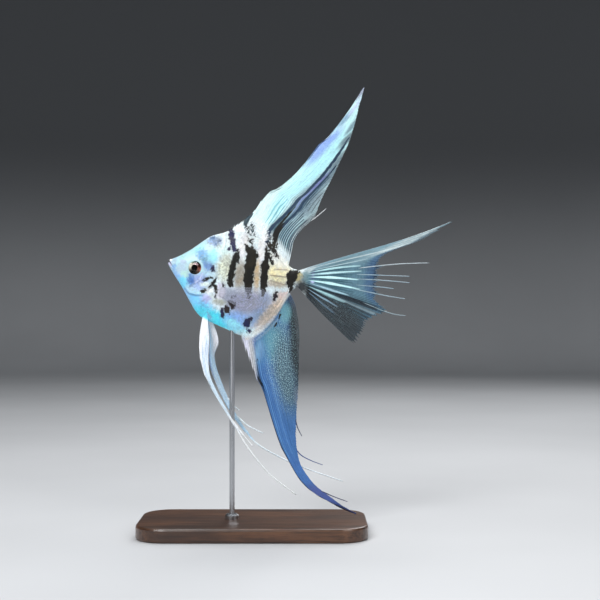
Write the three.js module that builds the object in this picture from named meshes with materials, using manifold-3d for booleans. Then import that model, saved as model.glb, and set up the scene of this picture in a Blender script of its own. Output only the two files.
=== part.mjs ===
// A freshwater angelfish (Pterophyllum scalare, long-finned) as a still, life-size model on a display stand.
// Millimetres, +Z up. The origin is the centre of the stand's underside. The fish faces -X, so its left
// flank is on the -Y side. The fish is drawn in its own frame, with x from the snout towards the tail along
// the body's axis, z up and y across, and is then pitched nose-up and set on the rod.
import * as THREE from "three";
import { mergeVertices } from "three/addons/utils/BufferGeometryUtils.js";
import Module from "manifold-3d";

const wasm = await Module();
wasm.setup();

// ---------------------------------------------------------------- driving dimensions

const BODY_LENGTH = 75; // snout to the base of the tail fin
const STALK_END = BODY_LENGTH + 1.5; // the fleshy root of the tail fin
const NOSE_UP_DEG = 7;
const CLEARANCE = 0.3; // gap between neighbouring pieces

const EYE = { x: 16.1, z: -1.5, radius: 3.7, depth: 2.5, proud: 0.6 };
const GILL_PLATE = { proud: 0.35, thickness: 1.0 };

const FIN_ROOT_HALF = 1.1; // half the thickness of a median fin at its root
const FIN_EDGE_HALF = 0.28; // half the thickness of every fin at its edge
const THREAD = { root: 0.4, tip: 0.26 }; // radius of a free ray where it leaves the fin and at its end

const BASE = { length: 130, width: 70, height: 8, corner: 16, bevel: 1.2 };
const ROD = { radius: 1.5, x: -12, under: 41.3 }; // x on the stand, and the point of the belly that it meets
const COLLAR = { radius: 4, height: 3, gap: CLEARANCE };
const FISH_HEIGHT = 155; // the snout end of the body's axis above the floor

// ---------------------------------------------------------------- curves

// A smooth function through [x, y] pairs that never swings past them.
function smoothThrough(points) {
  const last = points.length - 1;
  const slope = (i) => (points[i + 1][1] - points[i][1]) / (points[i + 1][0] - points[i][0]);
  const tangents = points.map((_, i) => {
    if (i === 0) return slope(0);
    if (i === last) return slope(last - 1);
    const before = slope(i - 1);
    const after = slope(i);
    return before * after > 0 ? (2 * before * after) / (before + after) : 0;
  });
  return (x) => {
    let i = 0;
    while (i < last - 1 && x > points[i + 1][0]) i += 1;
    const width = points[i + 1][0] - points[i][0];
    const t = THREE.MathUtils.clamp((x - points[i][0]) / width, 0, 1);
    const rise = t * t * (3 - 2 * t);
    const lead = t * (1 - t) * (1 - t) * width * tangents[i];
    const tail = t * t * (t - 1) * width * tangents[i + 1];
    return points[i][1] + rise * (points[i + 1][1] - points[i][1]) + lead + tail;
  };
}

function range(count) {
  return Array.from({ length: count }, (_, i) => i);
}

// ---------------------------------------------------------------- solids

function solidOf(geometry) {
  const bare = geometry.clone();
  bare.deleteAttribute("normal");
  bare.deleteAttribute("uv");
  const merged = mergeVertices(bare, 1e-4);
  const mesh = new wasm.Mesh({
    numProp: 3,
    vertProperties: new Float32Array(merged.attributes.position.array),
    triVerts: new Uint32Array(merged.index.array),
  });
  return new wasm.Manifold(mesh);
}

function geometryOf(solid) {
  const mesh = solid.getMesh();
  const positions = new Float32Array(mesh.numVert * 3);
  for (let i = 0; i < mesh.numVert; i += 1) {
    positions.set(mesh.vertProperties.subarray(i * mesh.numProp, i * mesh.numProp + 3), i * 3);
  }
  const geometry = new THREE.BufferGeometry();
  geometry.setAttribute("position", new THREE.BufferAttribute(positions, 3));
  geometry.setIndex(new THREE.BufferAttribute(new Uint32Array(mesh.triVerts), 1));
  geometry.computeVertexNormals();
  return geometry;
}

// A closed geometry from points and quads or triangles, turned to face outwards.
function closedGeometry(points, faces) {
  const index = faces.flatMap((f) => (f.length === 4 ? [f[0], f[1], f[2], f[0], f[2], f[3]] : f));
  let volume = 0;
  const [a, b, c] = [new THREE.Vector3(), new THREE.Vector3(), new THREE.Vector3()];
  for (let i = 0; i < index.length; i += 3) {
    a.copy(points[index[i]]);
    b.copy(points[index[i + 1]]);
    c.copy(points[index[i + 2]]);
    volume += a.dot(b.cross(c));
  }
  if (volume < 0) index.reverse();
  const geometry = new THREE.BufferGeometry().setFromPoints(points);
  geometry.setIndex(index);
  return geometry;
}

// Rings of equally many points, joined in order and closed by a fan at each end.
function skinned(rings) {
  const sides = rings[0].length;
  const points = rings.flat();
  const faces = [];
  range(rings.length - 1).forEach((i) => {
    range(sides).forEach((j) => {
      const next = (j + 1) % sides;
      faces.push([i * sides + j, i * sides + next, (i + 1) * sides + next, (i + 1) * sides + j]);
    });
  });
  [0, rings.length - 1].forEach((i) => {
    const hub = points.length;
    const ring = rings[i];
    points.push(ring.reduce((sum, p) => sum.add(p), new THREE.Vector3()).divideScalar(sides));
    range(sides).forEach((j) => {
      const [p, q] = [i * sides + j, i * sides + ((j + 1) % sides)];
      faces.push(i === 0 ? [hub, q, p] : [hub, p, q]);
    });
  });
  return closedGeometry(points, faces);
}

// A thin shell about a surface(u, v), half(u, v) thick to each side of it.
function slab(surface, us, vs, half) {
  const grid = us.map((u) => vs.map((v) => surface(u, v)));
  const at = (i, j) => grid[THREE.MathUtils.clamp(i, 0, us.length - 1)][THREE.MathUtils.clamp(j, 0, vs.length - 1)];
  const sides = [1, -1].map((side) =>
    us.flatMap((u, i) =>
      vs.map((v, j) => {
        const across = at(i + 1, j).clone().sub(at(i - 1, j));
        const along = at(i, j + 1).clone().sub(at(i, j - 1));
        const normal = across.cross(along).normalize();
        return at(i, j).clone().addScaledVector(normal, side * half(u, v));
      }),
    ),
  );
  const back = us.length * vs.length;
  const id = (i, j) => i * vs.length + j;
  const faces = [];
  range(us.length - 1).forEach((i) => {
    range(vs.length - 1).forEach((j) => {
      const quad = [id(i, j), id(i + 1, j), id(i + 1, j + 1), id(i, j + 1)];
      faces.push(quad, quad.map((n) => n + back).reverse());
    });
  });
  const rim = [
    ...range(us.length).map((i) => id(i, 0)),
    ...range(vs.length - 1).map((j) => id(us.length - 1, j + 1)),
    ...range(us.length - 1).map((i) => id(us.length - 2 - i, vs.length - 1)),
    ...range(vs.length - 2).map((j) => id(0, vs.length - 2 - j)),
  ];
  rim.forEach((p, n) => {
    const q = rim[(n + 1) % rim.length];
    faces.push([q, p, p + back, q + back]);
  });
  return closedGeometry(sides.flat(), faces);
}

// A tapered tube along a curve through the points.
function taperedTube(points, rootRadius, tipRadius, rings, sides = 6) {
  const curve = new THREE.CatmullRomCurve3(points);
  const frames = curve.computeFrenetFrames(rings - 1);
  const circles = range(rings).map((i) => {
    const share = i / (rings - 1);
    const radius = THREE.MathUtils.lerp(rootRadius, tipRadius, share);
    const centre = curve.getPointAt(share);
    return range(sides).map((j) => {
      const turn = (2 * Math.PI * j) / sides;
      return centre
        .clone()
        .addScaledVector(frames.normals[i], radius * Math.cos(turn))
        .addScaledVector(frames.binormals[i], radius * Math.sin(turn));
    });
  });
  return skinned(circles);
}

const DEEP = 60; // further across than any part of the fish

// A shape drawn in x and z, extruded across the fish from y = low to y = high.
function acrossFish(shape, low = -DEEP / 2, high = DEEP / 2) {
  const geometry = new THREE.ExtrudeGeometry(shape, { depth: high - low, bevelEnabled: false, curveSegments: 8 });
  geometry.rotateX(Math.PI / 2);
  geometry.translate(0, high, 0);
  return geometry;
}

// A thin curved blade across the fish, for parting one piece from the next.
function blade(points, steps = 10) {
  const line = new THREE.SplineCurve(points.map(([x, z]) => new THREE.Vector2(x, z)));
  const edge = (side) =>
    range(steps + 1).map((i) => {
      const along = line.getTangent(i / steps);
      return line.getPoint(i / steps).add(new THREE.Vector2(-along.y, along.x).multiplyScalar((side * CLEARANCE) / 2));
    });
  return solidOf(acrossFish(new THREE.Shape([...edge(1), ...edge(-1).reverse()])));
}

// ---------------------------------------------------------------- body

// The body's outline in the median plane, without its fins, and its half width, each along x.
const backLine = smoothThrough([
  [0, 1.1],
  [6, 4.4],
  [12, 8.7],
  [18, 14],
  [23, 18],
  [28.7, 20.3],
  [35, 23.1],
  [42, 24.2],
  [49, 22.7],
  [56, 18.6],
  [63, 12],
  [68, 7],
  [72, 5],
  [STALK_END, 4.6],
]);
const bellyLine = smoothThrough([
  [0, -0.9],
  [3, -5.5],
  [8.5, -12],
  [15, -20.9],
  [19, -26.2],
  [23, -29.4],
  [30, -31.9],
  [38, -34.4],
  [47, -36.9],
  [53, -36],
  [58, -32.2],
  [62.5, -26.6],
  [66, -20.4],
  [69.5, -12.6],
  [72.5, -7.8],
  [STALK_END, -4.9],
]);
// Where the flank is widest.
const flankLine = smoothThrough([
  [0, 0.1],
  [12, -1.5],
  [30, -4],
  [50, -3],
  [STALK_END, -0.3],
]);
const halfWidth = smoothThrough([
  [0, 1.1],
  [4, 2.7],
  [10, 4.5],
  [17, 5.9],
  [26, 6.9],
  [36, 7.1],
  [48, 6.0],
  [60, 4.1],
  [70, 2.7],
  [STALK_END, 1.9],
]);

// The body as one closed surface, grown outwards by a margin.
function bodyLoft(grown = 0, sides = 20) {
  const stations = [0, 1.2, 3, 5.5, 8.5, 12, 15.5, 19, 22.5, 26, 29.5, 34, 38, 42, 46, 50, 53.5, 57, 60.5, 64, 67, 70, 73];
  stations.push(STALK_END);
  const rings = stations.map((x) => {
    const x1 = THREE.MathUtils.mapLinear(x, 0, STALK_END, -grown, STALK_END + grown);
    const middle = flankLine(x);
    const up = backLine(x) + grown - middle;
    const down = middle - bellyLine(x) + grown;
    const wide = halfWidth(x) + grown;
    return range(sides).map((j) => {
      const turn = (2 * Math.PI * j) / sides;
      const rise = Math.sin(turn);
      const out = Math.cos(turn);
      return new THREE.Vector3(x1, wide * Math.sign(out) * Math.abs(out) ** 1.15, middle + rise * (rise > 0 ? up : down));
    });
  });
  return skinned(rings);
}

// The half width of the body's surface at a height, for setting things on the flank.
function flankAt(x, z) {
  const middle = flankLine(x);
  const reach = z > middle ? backLine(x) - middle : middle - bellyLine(x);
  const rise = THREE.MathUtils.clamp((z - middle) / reach, -1, 1);
  return halfWidth(x) * Math.sqrt(1 - rise * rise) ** 1.15;
}

// The gill cover's edge: from above the eye's rear, round behind, and forward under the cheek.
function gillShape(grown = 0) {
  const outline = [
    [17.5, 4.6],
    [24.7, 5.3],
    [29.3, 2.2],
    [30.6, -2],
    [29, -6.5],
    [25.3, -13.4],
    [21.6, -16.6],
    [16.5, -17],
    [12.6, -14.4],
    [14.5, -9.5],
    [19.5, -6.5],
    [21.8, -1.5],
    [20.8, 2.2],
  ];
  const line = new THREE.CatmullRomCurve3(outline.map(([x, z]) => new THREE.Vector3(x, z, 0)), true);
  const steps = 26;
  const points = range(steps).map((i) => {
    const along = line.getTangent(i / steps);
    const p = line.getPoint(i / steps);
    return new THREE.Vector2(p.x - along.y * grown, p.y + along.x * grown);
  });
  return new THREE.Shape(points);
}

function eyeball(side, grown = 0) {
  const geometry = new THREE.SphereGeometry(1, 16, 10);
  geometry.scale(EYE.radius + grown, EYE.depth + grown, EYE.radius + grown);
  geometry.translate(EYE.x, side * (flankAt(EYE.x, EYE.z) + EYE.proud - EYE.depth), EYE.z);
  return geometry;
}

const HEAD_CUT = [
  [27.5, 27],
  [30.5, 16],
  [32.3, 5],
  [32.3, -3],
  [30.2, -9],
  [26.5, -15.8],
  [21.5, -19],
  [15.5, -19],
  [10, -16.6],
  [4, -13.5],
];
const STALK_CUT = [
  [66.5, 14],
  [67.6, 0],
  [66.8, -24],
];
const MOUTH_CUT = [
  [-2.5, 1.5],
  [0, 0.2],
  [2.2, -1.1],
  [4, -2.6],
];
const JAW_CUT = [
  [3.4, 5],
  [3.9, 1],
  [4, -2.6],
  [4.6, -5.5],
  [7.3, -13],
];

// The body parted into jaws, head, trunk and tail stalk by thin cuts, in that order from the snout.
function bodyPieces() {
  const cut = [HEAD_CUT, STALK_CUT, MOUTH_CUT, JAW_CUT].reduce(
    (body, line) => body.subtract(blade(line)),
    solidOf(bodyLoft()),
  );
  const middleX = (s) => (s.boundingBox().min[0] + s.boundingBox().max[0]) / 2;
  const pieces = cut.decompose().sort((a, b) => middleX(a) - middleX(b));
  if (pieces.length !== 5) throw new Error(`the cuts left ${pieces.length} pieces`);
  const jaws = pieces.slice(0, 2).sort((a, b) => a.boundingBox().max[2] - b.boundingBox().max[2]);
  const [lowerJaw, upperJaw] = jaws;
  const [, , head, trunk, stalk] = pieces;
  return { lowerJaw, upperJaw, head, trunk, stalk };
}

// A plate let into the side of the head, standing a little proud of it, and the pocket that takes it.
function gillCover(side) {
  const [low, high] = side < 0 ? [-DEEP / 2, -1] : [1, DEEP / 2];
  const prism = (grown) => solidOf(acrossFish(gillShape(grown), low, high));
  const plate = prism(0)
    .intersect(solidOf(bodyLoft(GILL_PLATE.proud)))
    .subtract(solidOf(bodyLoft(-GILL_PLATE.thickness)));
  const pocket = prism(CLEARANCE).subtract(solidOf(bodyLoft(-GILL_PLATE.thickness - CLEARANCE)));
  return { plate, pocket };
}

// ---------------------------------------------------------------- fins

// A fin that is longer than it is broad is drawn by stations from its root to its tip. Each station holds the
// x and z of the front edge and then of the rear edge. Threads are rays that run on past the edge of the web:
// each starts within the web and runs through its points to its tip. Sway is how far the fin leans to the
// right (+y) or left at a point.
const DORSAL_FIN = {
  stations: [
    [30.0, 18.6, 69.0, 4.4],
    [31.6, 23.6, 69.5, 11.4],
    [37, 27.5, 70, 18.5],
    [42.5, 32, 71.5, 24],
    [44.8, 34.4, 74.2, 28.4],
    [46.8, 38.2, 77.6, 32.4],
    [49.6, 43.0, 80.4, 36.6],
    [53.0, 47.2, 81.8, 42.4],
    [57.3, 49.6, 83.4, 47.8],
    [62.0, 54.2, 86.0, 54.8],
    [66.5, 59.5, 88.5, 62],
    [72.0, 67.6, 91.8, 71.6],
    [77.2, 77.2, 94.8, 81.4],
    [81.4, 80.9, 96.2, 88.8],
    [85.8, 87.8, 97.2, 95.8],
    [90.2, 95.4, 97.9, 102.2],
    [94.9, 104.4, 98.8, 108.2],
    [99.0, 113.4, 99.6, 113.6],
  ],
  threads: [
    [
      [78.4, 33.4],
      [81.6, 36.4],
      [86.2, 41.4],
    ],
  ],
  sway: (x, z) => {
    const rise = Math.max(0, (z - 20) / 93);
    return 4.5 * rise * rise + 1.2 * rise * Math.sin(0.22 * x - 0.1 * z);
  },
};
const ANAL_FIN = {
  stations: [
    [45.2, -34.0, 70.8, -7.8],
    [47.8, -41.0, 74.9, -14.4],
    [51.8, -48.2, 77.4, -21.6],
    [55.4, -55.2, 79.6, -31.0],
    [58.7, -61.2, 80.8, -42.0],
    [62.2, -65.2, 82.0, -52.6],
    [66.9, -75.6, 83.0, -63.6],
    [70.4, -83.6, 83.6, -74.0],
    [73.7, -90.6, 84.4, -84.2],
    [77.2, -97.4, 85.6, -93.6],
    [81, -102.5, 87.5, -100.5],
    [84.9, -108.2, 89.8, -106.0],
    [89.7, -113.9, 94.2, -111.4],
    [94.6, -118.0, 98.6, -115.7],
    [100.2, -121.2, 103.6, -119.0],
    [107.0, -124.2, 109.2, -122.2],
    [115.3, -127.6, 116.4, -126.2],
    [124.4, -129.8, 124.6, -129.2],
  ],
  threads: [
    [
      [83.2, -80],
      [85.2, -85],
      [88.2, -89.5],
    ],
    [
      [85.6, -97],
      [89, -100.2],
      [95, -102.6],
      [102, -104.4],
    ],
    [
      [102, -118.8],
      [110, -121.4],
      [118.6, -123.4],
    ],
  ],
  sway: (x, z) => {
    const drop = Math.max(0, (-35 - z) / 95);
    return -3.5 * drop * drop + 1.2 * drop * Math.sin(0.2 * x + 0.07 * z);
  },
};
// The long pelvic fins hang from either side of the belly's keel. Each has its front edge's x and its breadth
// along x by the depth below its root.
const PELVIC_ROOT = { z: -27, spread: 1.6 };
const PELVIC_FINS = {
  left: {
    length: 66,
    front: smoothThrough([
      [0, 23.5],
      [10, 23],
      [20, 24],
      [32, 28],
      [42, 34.5],
      [54, 44],
      [66, 53.5],
    ]),
    breadth: smoothThrough([
      [0, 3],
      [16, 6],
      [24, 5],
      [36, 3],
      [66, 1],
    ]),
    threads: [
      [
        [51.5, -90],
        [60, -100.5],
        [73, -112.5],
        [89, -122],
      ],
      [
        [45.5, -82],
        [53, -90],
        [61, -97.5],
      ],
    ],
    sway: (x, z) => -pelvicSpread(z, 9),
  },
  right: {
    length: 71,
    front: smoothThrough([
      [0, 24.5],
      [14, 28.5],
      [26, 29.5],
      [42, 37],
      [56, 46.5],
      [71, 61],
    ]),
    breadth: smoothThrough([
      [0, 3.5],
      [9, 4.5],
      [15, 6],
      [20, 3.5],
      [32, 4],
      [56, 3],
      [71, 2],
    ]),
    threads: [
      [
        [58.5, -95],
        [68, -100.5],
        [88, -107.5],
        [115, -113.5],
      ],
      [
        [43, -73.5],
        [46.5, -77.5],
        [50.5, -80],
      ],
      [
        [49, -83],
        [56, -88],
        [66, -91.5],
      ],
    ],
    sway: (x, z) => pelvicSpread(z, 8),
  },
};

// A pelvic fin's stations, evenly spread from its root down.
function pelvicStations({ length, front, breadth }) {
  const count = 14;
  return range(count).map((i) => {
    const depth = (length * i) / (count - 1);
    const z = PELVIC_ROOT.z - depth;
    return [front(depth), z, front(depth) + breadth(depth), z];
  });
}

// How far a pelvic fin stands from the median plane at a height, out to its full spread.
function pelvicSpread(z, full) {
  const depth = 55;
  const share = THREE.MathUtils.clamp((PELVIC_ROOT.z - z) / depth, 0, 1);
  return PELVIC_ROOT.spread + (full - PELVIC_ROOT.spread) * Math.sin((Math.PI / 2) * share);
}

// A fin that spreads like a fan is drawn by rays. Each key ray has its place in the fan from 0 to 1, the points
// where it starts and ends, and the directions in degrees above +x in which it leaves the root and ends.
const CAUDAL_FIN = {
  rays: [
    { at: 0.0, base: [74.2, 3.9], tip: [161.5, 45.0], leaves: 26, ends: 32 },
    { at: 0.03, base: [74.4, 3.6], tip: [150.0, 35.6], leaves: 25, ends: 28 },
    { at: 0.06, base: [74.5, 3.3], tip: [143.2, 30.6], leaves: 24, ends: 26 },
    { at: 0.11, base: [74.7, 2.8], tip: [131.8, 24.6], leaves: 22, ends: 24 },
    { at: 0.16, base: [74.8, 2.3], tip: [123.0, 19.2], leaves: 21, ends: 20 },
    { at: 0.22, base: [75.0, 1.8], tip: [119.8, 14.2], leaves: 18, ends: 13 },
    { at: 0.31, base: [75.1, 1.1], tip: [119.6, 9.0], leaves: 12, ends: 7 },
    { at: 0.4, base: [75.2, 0.5], tip: [119.4, 4.0], leaves: 7, ends: 1 },
    { at: 0.5, base: [75.3, -0.3], tip: [119.8, -1.0], leaves: 1, ends: -3 },
    { at: 0.6, base: [75.2, -1.1], tip: [120.8, -6.6], leaves: -6, ends: -8 },
    { at: 0.68, base: [75.1, -1.7], tip: [125.6, -13.0], leaves: -13, ends: -12 },
    { at: 0.75, base: [75.0, -2.4], tip: [117.6, -20.0], leaves: -21, ends: -22 },
    { at: 0.83, base: [74.9, -3.0], tip: [115.6, -25.6], leaves: -29, ends: -28 },
    { at: 0.91, base: [74.8, -3.7], tip: [111.4, -33.2], leaves: -37, ends: -40 },
    { at: 1.0, base: [74.6, -4.4], tip: [102.6, -27.4], leaves: -43, ends: -36 },
  ],
  threads: [
    [
      [116, 11.5],
      [132, 15],
      [148, 17.5],
    ],
    [
      [116, 6.8],
      [124, 7.4],
      [138, 8.6],
    ],
    [
      [116, 3.8],
      [124, 4.5],
      [138.5, 5],
    ],
    [
      [116, 0],
      [123, 0.5],
      [130, 0.5],
    ],
    [
      [116, -3],
      [126, -4],
      [137, -4.5],
    ],
    [
      [121, -11.8],
      [129, -13.5],
      [138.5, -14],
    ],
  ],
  sway: (x, z) => {
    const reach = Math.max(0, (x - 76) / 45);
    return -2.4 * reach + 0.6 * reach * Math.sin(0.3 * z);
  },
};
const PECTORAL_RAYS = [
  { at: 0.0, base: [31.9, -10.8], tip: [54.6, -8.4], leaves: 8, ends: 2 },
  { at: 0.15, base: [32.0, -11.6], tip: [57.8, -9.5], leaves: 4, ends: 0 },
  { at: 0.3, base: [32.0, -12.4], tip: [59.5, -11.8], leaves: -1, ends: -3 },
  { at: 0.45, base: [32.1, -13.2], tip: [59.6, -14.5], leaves: -5, ends: -6 },
  { at: 0.6, base: [32.2, -14.1], tip: [57.9, -17.4], leaves: -9, ends: -10 },
  { at: 0.75, base: [32.2, -14.9], tip: [54.6, -20.0], leaves: -14, ends: -16 },
  { at: 0.88, base: [32.2, -15.6], tip: [50.8, -21.8], leaves: -18, ends: -22 },
  { at: 1.0, base: [32.2, -16.2], tip: [46.8, -22.4], leaves: -22, ends: -28 },
];

function rows(count) {
  return range(count + 1).map((i) => i / count);
}

function addThreads(web, { threads, sway }) {
  return threads.reduce((fin, line) => {
    const points = line.map(([x, z]) => new THREE.Vector3(x, sway(x, z), z));
    return fin.add(solidOf(taperedTube(points, THREAD.root, THREAD.tip, line.length + 2)));
  }, web);
}

// A long fin from its stations, thick at the root and thin from the third station on.
function longFin(fin, columns, rootHalf) {
  const surface = (station, u) => {
    const [frontX, frontZ, rearX, rearZ] = fin.stations[station];
    const x = THREE.MathUtils.lerp(frontX, rearX, u);
    const z = THREE.MathUtils.lerp(frontZ, rearZ, u);
    return new THREE.Vector3(x, fin.sway(x, z), z);
  };
  const half = (station) => THREE.MathUtils.lerp(rootHalf, FIN_EDGE_HALF, Math.min(1, station / 3) ** 0.6);
  return addThreads(solidOf(slab(surface, range(fin.stations.length), rows(columns), half)), fin);
}

// A fan of curved rays as a function (ray, v) of the key ray and the share of the way from root to tip.
function rayFan(rays) {
  const handle = 0.36; // the share of a ray's length over which it holds its first and last direction
  const heading = (degrees) => {
    const angle = THREE.MathUtils.degToRad(degrees);
    return new THREE.Vector2(Math.cos(angle), Math.sin(angle));
  };
  const curves = rays.map((ray) => {
    const start = new THREE.Vector2(...ray.base);
    const finish = new THREE.Vector2(...ray.tip);
    const reach = handle * start.distanceTo(finish);
    const second = start.clone().addScaledVector(heading(ray.leaves), reach);
    const third = finish.clone().addScaledVector(heading(ray.ends), -reach);
    return new THREE.CubicBezierCurve(start, second, third, finish);
  });
  return (ray, v) => curves[ray].getPoint(v);
}

function fanFin(rays, across, rowCount, rootHalf) {
  const fan = rayFan(rays);
  const rootShare = 0.22; // the share of a ray's length over which the fleshy root thins out
  const surface = (ray, v) => {
    const p = fan(ray, v);
    return new THREE.Vector3(p.x, across(p.x, p.y, v), p.y);
  };
  const half = (ray, v) => THREE.MathUtils.lerp(rootHalf, FIN_EDGE_HALF, Math.min(1, v / rootShare) ** 0.6);
  return solidOf(slab(surface, range(rays.length), rows(rowCount), half));
}

function dorsalFin() {
  return longFin(DORSAL_FIN, 6, FIN_ROOT_HALF);
}

function analFin() {
  return longFin(ANAL_FIN, 6, FIN_ROOT_HALF);
}

function pelvicFin(side) {
  const fin = PELVIC_FINS[side];
  return longFin({ ...fin, stations: pelvicStations(fin) }, 2, 0.6);
}

function caudalFin() {
  return addThreads(fanFin(CAUDAL_FIN.rays, CAUDAL_FIN.sway, 7, 1.5), CAUDAL_FIN);
}

// A clear fan that leans away from the flank.
function pectoralFin(sign) {
  const [rootX, rootZ] = PECTORAL_RAYS[0].base;
  const inset = 0.5; // how deep the root sits in the flank
  const root = flankAt(rootX, rootZ) - inset;
  const lean = Math.tan(THREE.MathUtils.degToRad(24));
  const across = (x, z, v) => sign * (root + (x - rootX) * lean - 1.2 * v * v + 0.4 * v * Math.sin(0.8 * z));
  return fanFin(PECTORAL_RAYS, across, 6, 0.6);
}

// ---------------------------------------------------------------- stand

function standBase() {
  const [x, y, r] = [BASE.length / 2 - BASE.bevel, BASE.width / 2 - BASE.bevel, BASE.corner];
  const shape = new THREE.Shape();
  shape.moveTo(-x + r, -y);
  shape.lineTo(x - r, -y);
  shape.absarc(x - r, -y + r, r, -Math.PI / 2, 0);
  shape.lineTo(x, y - r);
  shape.absarc(x - r, y - r, r, 0, Math.PI / 2);
  shape.lineTo(-x + r, y);
  shape.absarc(-x + r, y - r, r, Math.PI / 2, Math.PI);
  shape.lineTo(-x, -y + r);
  shape.absarc(-x + r, -y + r, r, Math.PI, 1.5 * Math.PI);
  const geometry = new THREE.ExtrudeGeometry(shape, {
    depth: BASE.height - 2 * BASE.bevel,
    bevelThickness: BASE.bevel,
    bevelSize: BASE.bevel,
    bevelSegments: 2,
    curveSegments: 5,
  });
  geometry.translate(0, 0, BASE.bevel);
  return geometry;
}

function standCollar() {
  const inner = ROD.radius + COLLAR.gap;
  const profile = [
    [inner, 0],
    [COLLAR.radius, 0],
    [COLLAR.radius, COLLAR.height - 1],
    [COLLAR.radius - 1, COLLAR.height],
    [inner, COLLAR.height],
    [inner, 0],
  ].map(([r, h]) => new THREE.Vector2(r, h));
  return new THREE.LatheGeometry(profile, 18).rotateX(Math.PI / 2);
}

// The rod stands on the base and ends just under the belly, cut to its curve.
function standRod(fish) {
  const height = FISH_HEIGHT - BASE.height;
  const rod = new THREE.CylinderGeometry(ROD.radius, ROD.radius, height, 18).rotateX(Math.PI / 2);
  rod.translate(ROD.x, 0, BASE.height + height / 2);
  const body = bodyLoft(CLEARANCE).applyMatrix4(fish.matrix);
  const lowest = (s) => s.boundingBox().min[2];
  return solidOf(rod)
    .subtract(solidOf(body))
    .decompose()
    .sort((a, b) => lowest(a) - lowest(b))[0];
}

// ---------------------------------------------------------------- materials

function finish(color, roughness, metalness = 0) {
  return new THREE.MeshStandardMaterial({ color, roughness, metalness });
}

const SKIN_BLUE = finish(0xa9def0, 0.4);
const SKIN_CREAM = finish(0xe4dccb, 0.4);
const FIN_BLUE = finish(0x9fc4dc, 0.45);
const FIN_WHITE = finish(0xe6f4fa, 0.45);
const EYE_DARK = finish(0x2a1d16, 0.1);
const WOOD = finish(0x3a261a, 0.4);
const STEEL = finish(0xb9bcc0, 0.3, 1);

function mesh(name, geometry, material) {
  const made = new THREE.Mesh(geometry, material);
  made.name = name;
  return made;
}

// ---------------------------------------------------------------- the model

const SIDES = { left: -1, right: 1 };

function placeFish() {
  const fish = new THREE.Group();
  const pitch = THREE.MathUtils.degToRad(NOSE_UP_DEG);
  fish.rotation.y = pitch;
  const belly = bellyLine(ROD.under);
  const overRod = ROD.under * Math.cos(pitch) + belly * Math.sin(pitch);
  fish.position.set(ROD.x - overRod, 0, FISH_HEIGHT);
  fish.updateMatrix();
  return fish;
}

function addFlesh(fish) {
  const { lowerJaw, upperJaw, head, trunk, stalk } = bodyPieces();
  let skull = head;
  for (const [side, sign] of Object.entries(SIDES)) {
    const { plate, pocket } = gillCover(sign);
    skull = skull.subtract(pocket).subtract(solidOf(eyeball(sign, CLEARANCE)));
    fish.add(mesh(`gill_cover_${side}`, geometryOf(plate), SKIN_BLUE));
    fish.add(mesh(`eye_${side}`, eyeball(sign), EYE_DARK));
  }
  fish.add(mesh("head", geometryOf(skull), SKIN_BLUE));
  fish.add(mesh("upper_jaw", geometryOf(upperJaw), SKIN_BLUE));
  fish.add(mesh("lower_jaw", geometryOf(lowerJaw), SKIN_BLUE));
  fish.add(mesh("trunk", geometryOf(trunk), SKIN_CREAM));
  fish.add(mesh("tail_stalk", geometryOf(stalk), SKIN_CREAM));
}

function addFins(fish) {
  const body = solidOf(bodyLoft(CLEARANCE));
  const outside = (fin) => fin.subtract(body).decompose().sort((a, b) => b.volume() - a.volume())[0];
  fish.add(mesh("dorsal_fin", geometryOf(outside(dorsalFin())), FIN_WHITE));
  fish.add(mesh("anal_fin", geometryOf(outside(analFin())), FIN_BLUE));
  fish.add(mesh("caudal_fin", geometryOf(outside(caudalFin())), FIN_BLUE));
  for (const [side, sign] of Object.entries(SIDES)) {
    fish.add(mesh(`pectoral_fin_${side}`, geometryOf(outside(pectoralFin(sign))), FIN_WHITE));
    fish.add(mesh(`pelvic_fin_${side}`, geometryOf(outside(pelvicFin(side))), FIN_WHITE));
  }
}

function addStand(model, fish) {
  const collar = mesh("stand_collar", standCollar(), STEEL);
  collar.position.set(ROD.x, 0, BASE.height);
  model.add(mesh("stand_base", standBase(), WOOD));
  model.add(mesh("stand_rod", geometryOf(standRod(fish)), STEEL));
  model.add(collar);
}

const model = new THREE.Group();
const fish = placeFish();
addFlesh(fish);
addFins(fish);
model.add(fish);
addStand(model, fish);

export default model;
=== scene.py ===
"""The looks of a freshwater angelfish on its display stand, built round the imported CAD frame.

The fish is made in its own frame, in millimetres: x runs from the snout to the tail along the body's axis,
y to the fish's right and z up. to_row() pitches it nose-up and sets it over the stand, in metres.
"""
import math

import bpy
import mathutils.kdtree
import numpy as np
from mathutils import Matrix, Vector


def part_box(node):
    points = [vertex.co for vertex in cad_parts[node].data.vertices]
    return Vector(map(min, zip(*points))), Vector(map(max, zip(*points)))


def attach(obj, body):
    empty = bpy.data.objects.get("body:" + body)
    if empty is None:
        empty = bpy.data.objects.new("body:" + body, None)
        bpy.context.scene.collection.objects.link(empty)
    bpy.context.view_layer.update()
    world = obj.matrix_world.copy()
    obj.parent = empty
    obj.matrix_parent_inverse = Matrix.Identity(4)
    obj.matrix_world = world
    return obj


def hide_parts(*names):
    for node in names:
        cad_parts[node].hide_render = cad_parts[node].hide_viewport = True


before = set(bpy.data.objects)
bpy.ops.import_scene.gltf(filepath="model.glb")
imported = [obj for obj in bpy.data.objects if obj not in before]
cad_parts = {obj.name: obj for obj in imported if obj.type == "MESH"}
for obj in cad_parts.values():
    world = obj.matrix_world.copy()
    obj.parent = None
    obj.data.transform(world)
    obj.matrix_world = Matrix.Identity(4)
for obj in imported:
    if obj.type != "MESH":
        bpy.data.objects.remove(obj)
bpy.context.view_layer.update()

# ---------------------------------------------------------------- driving dimensions, in millimetres

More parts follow.
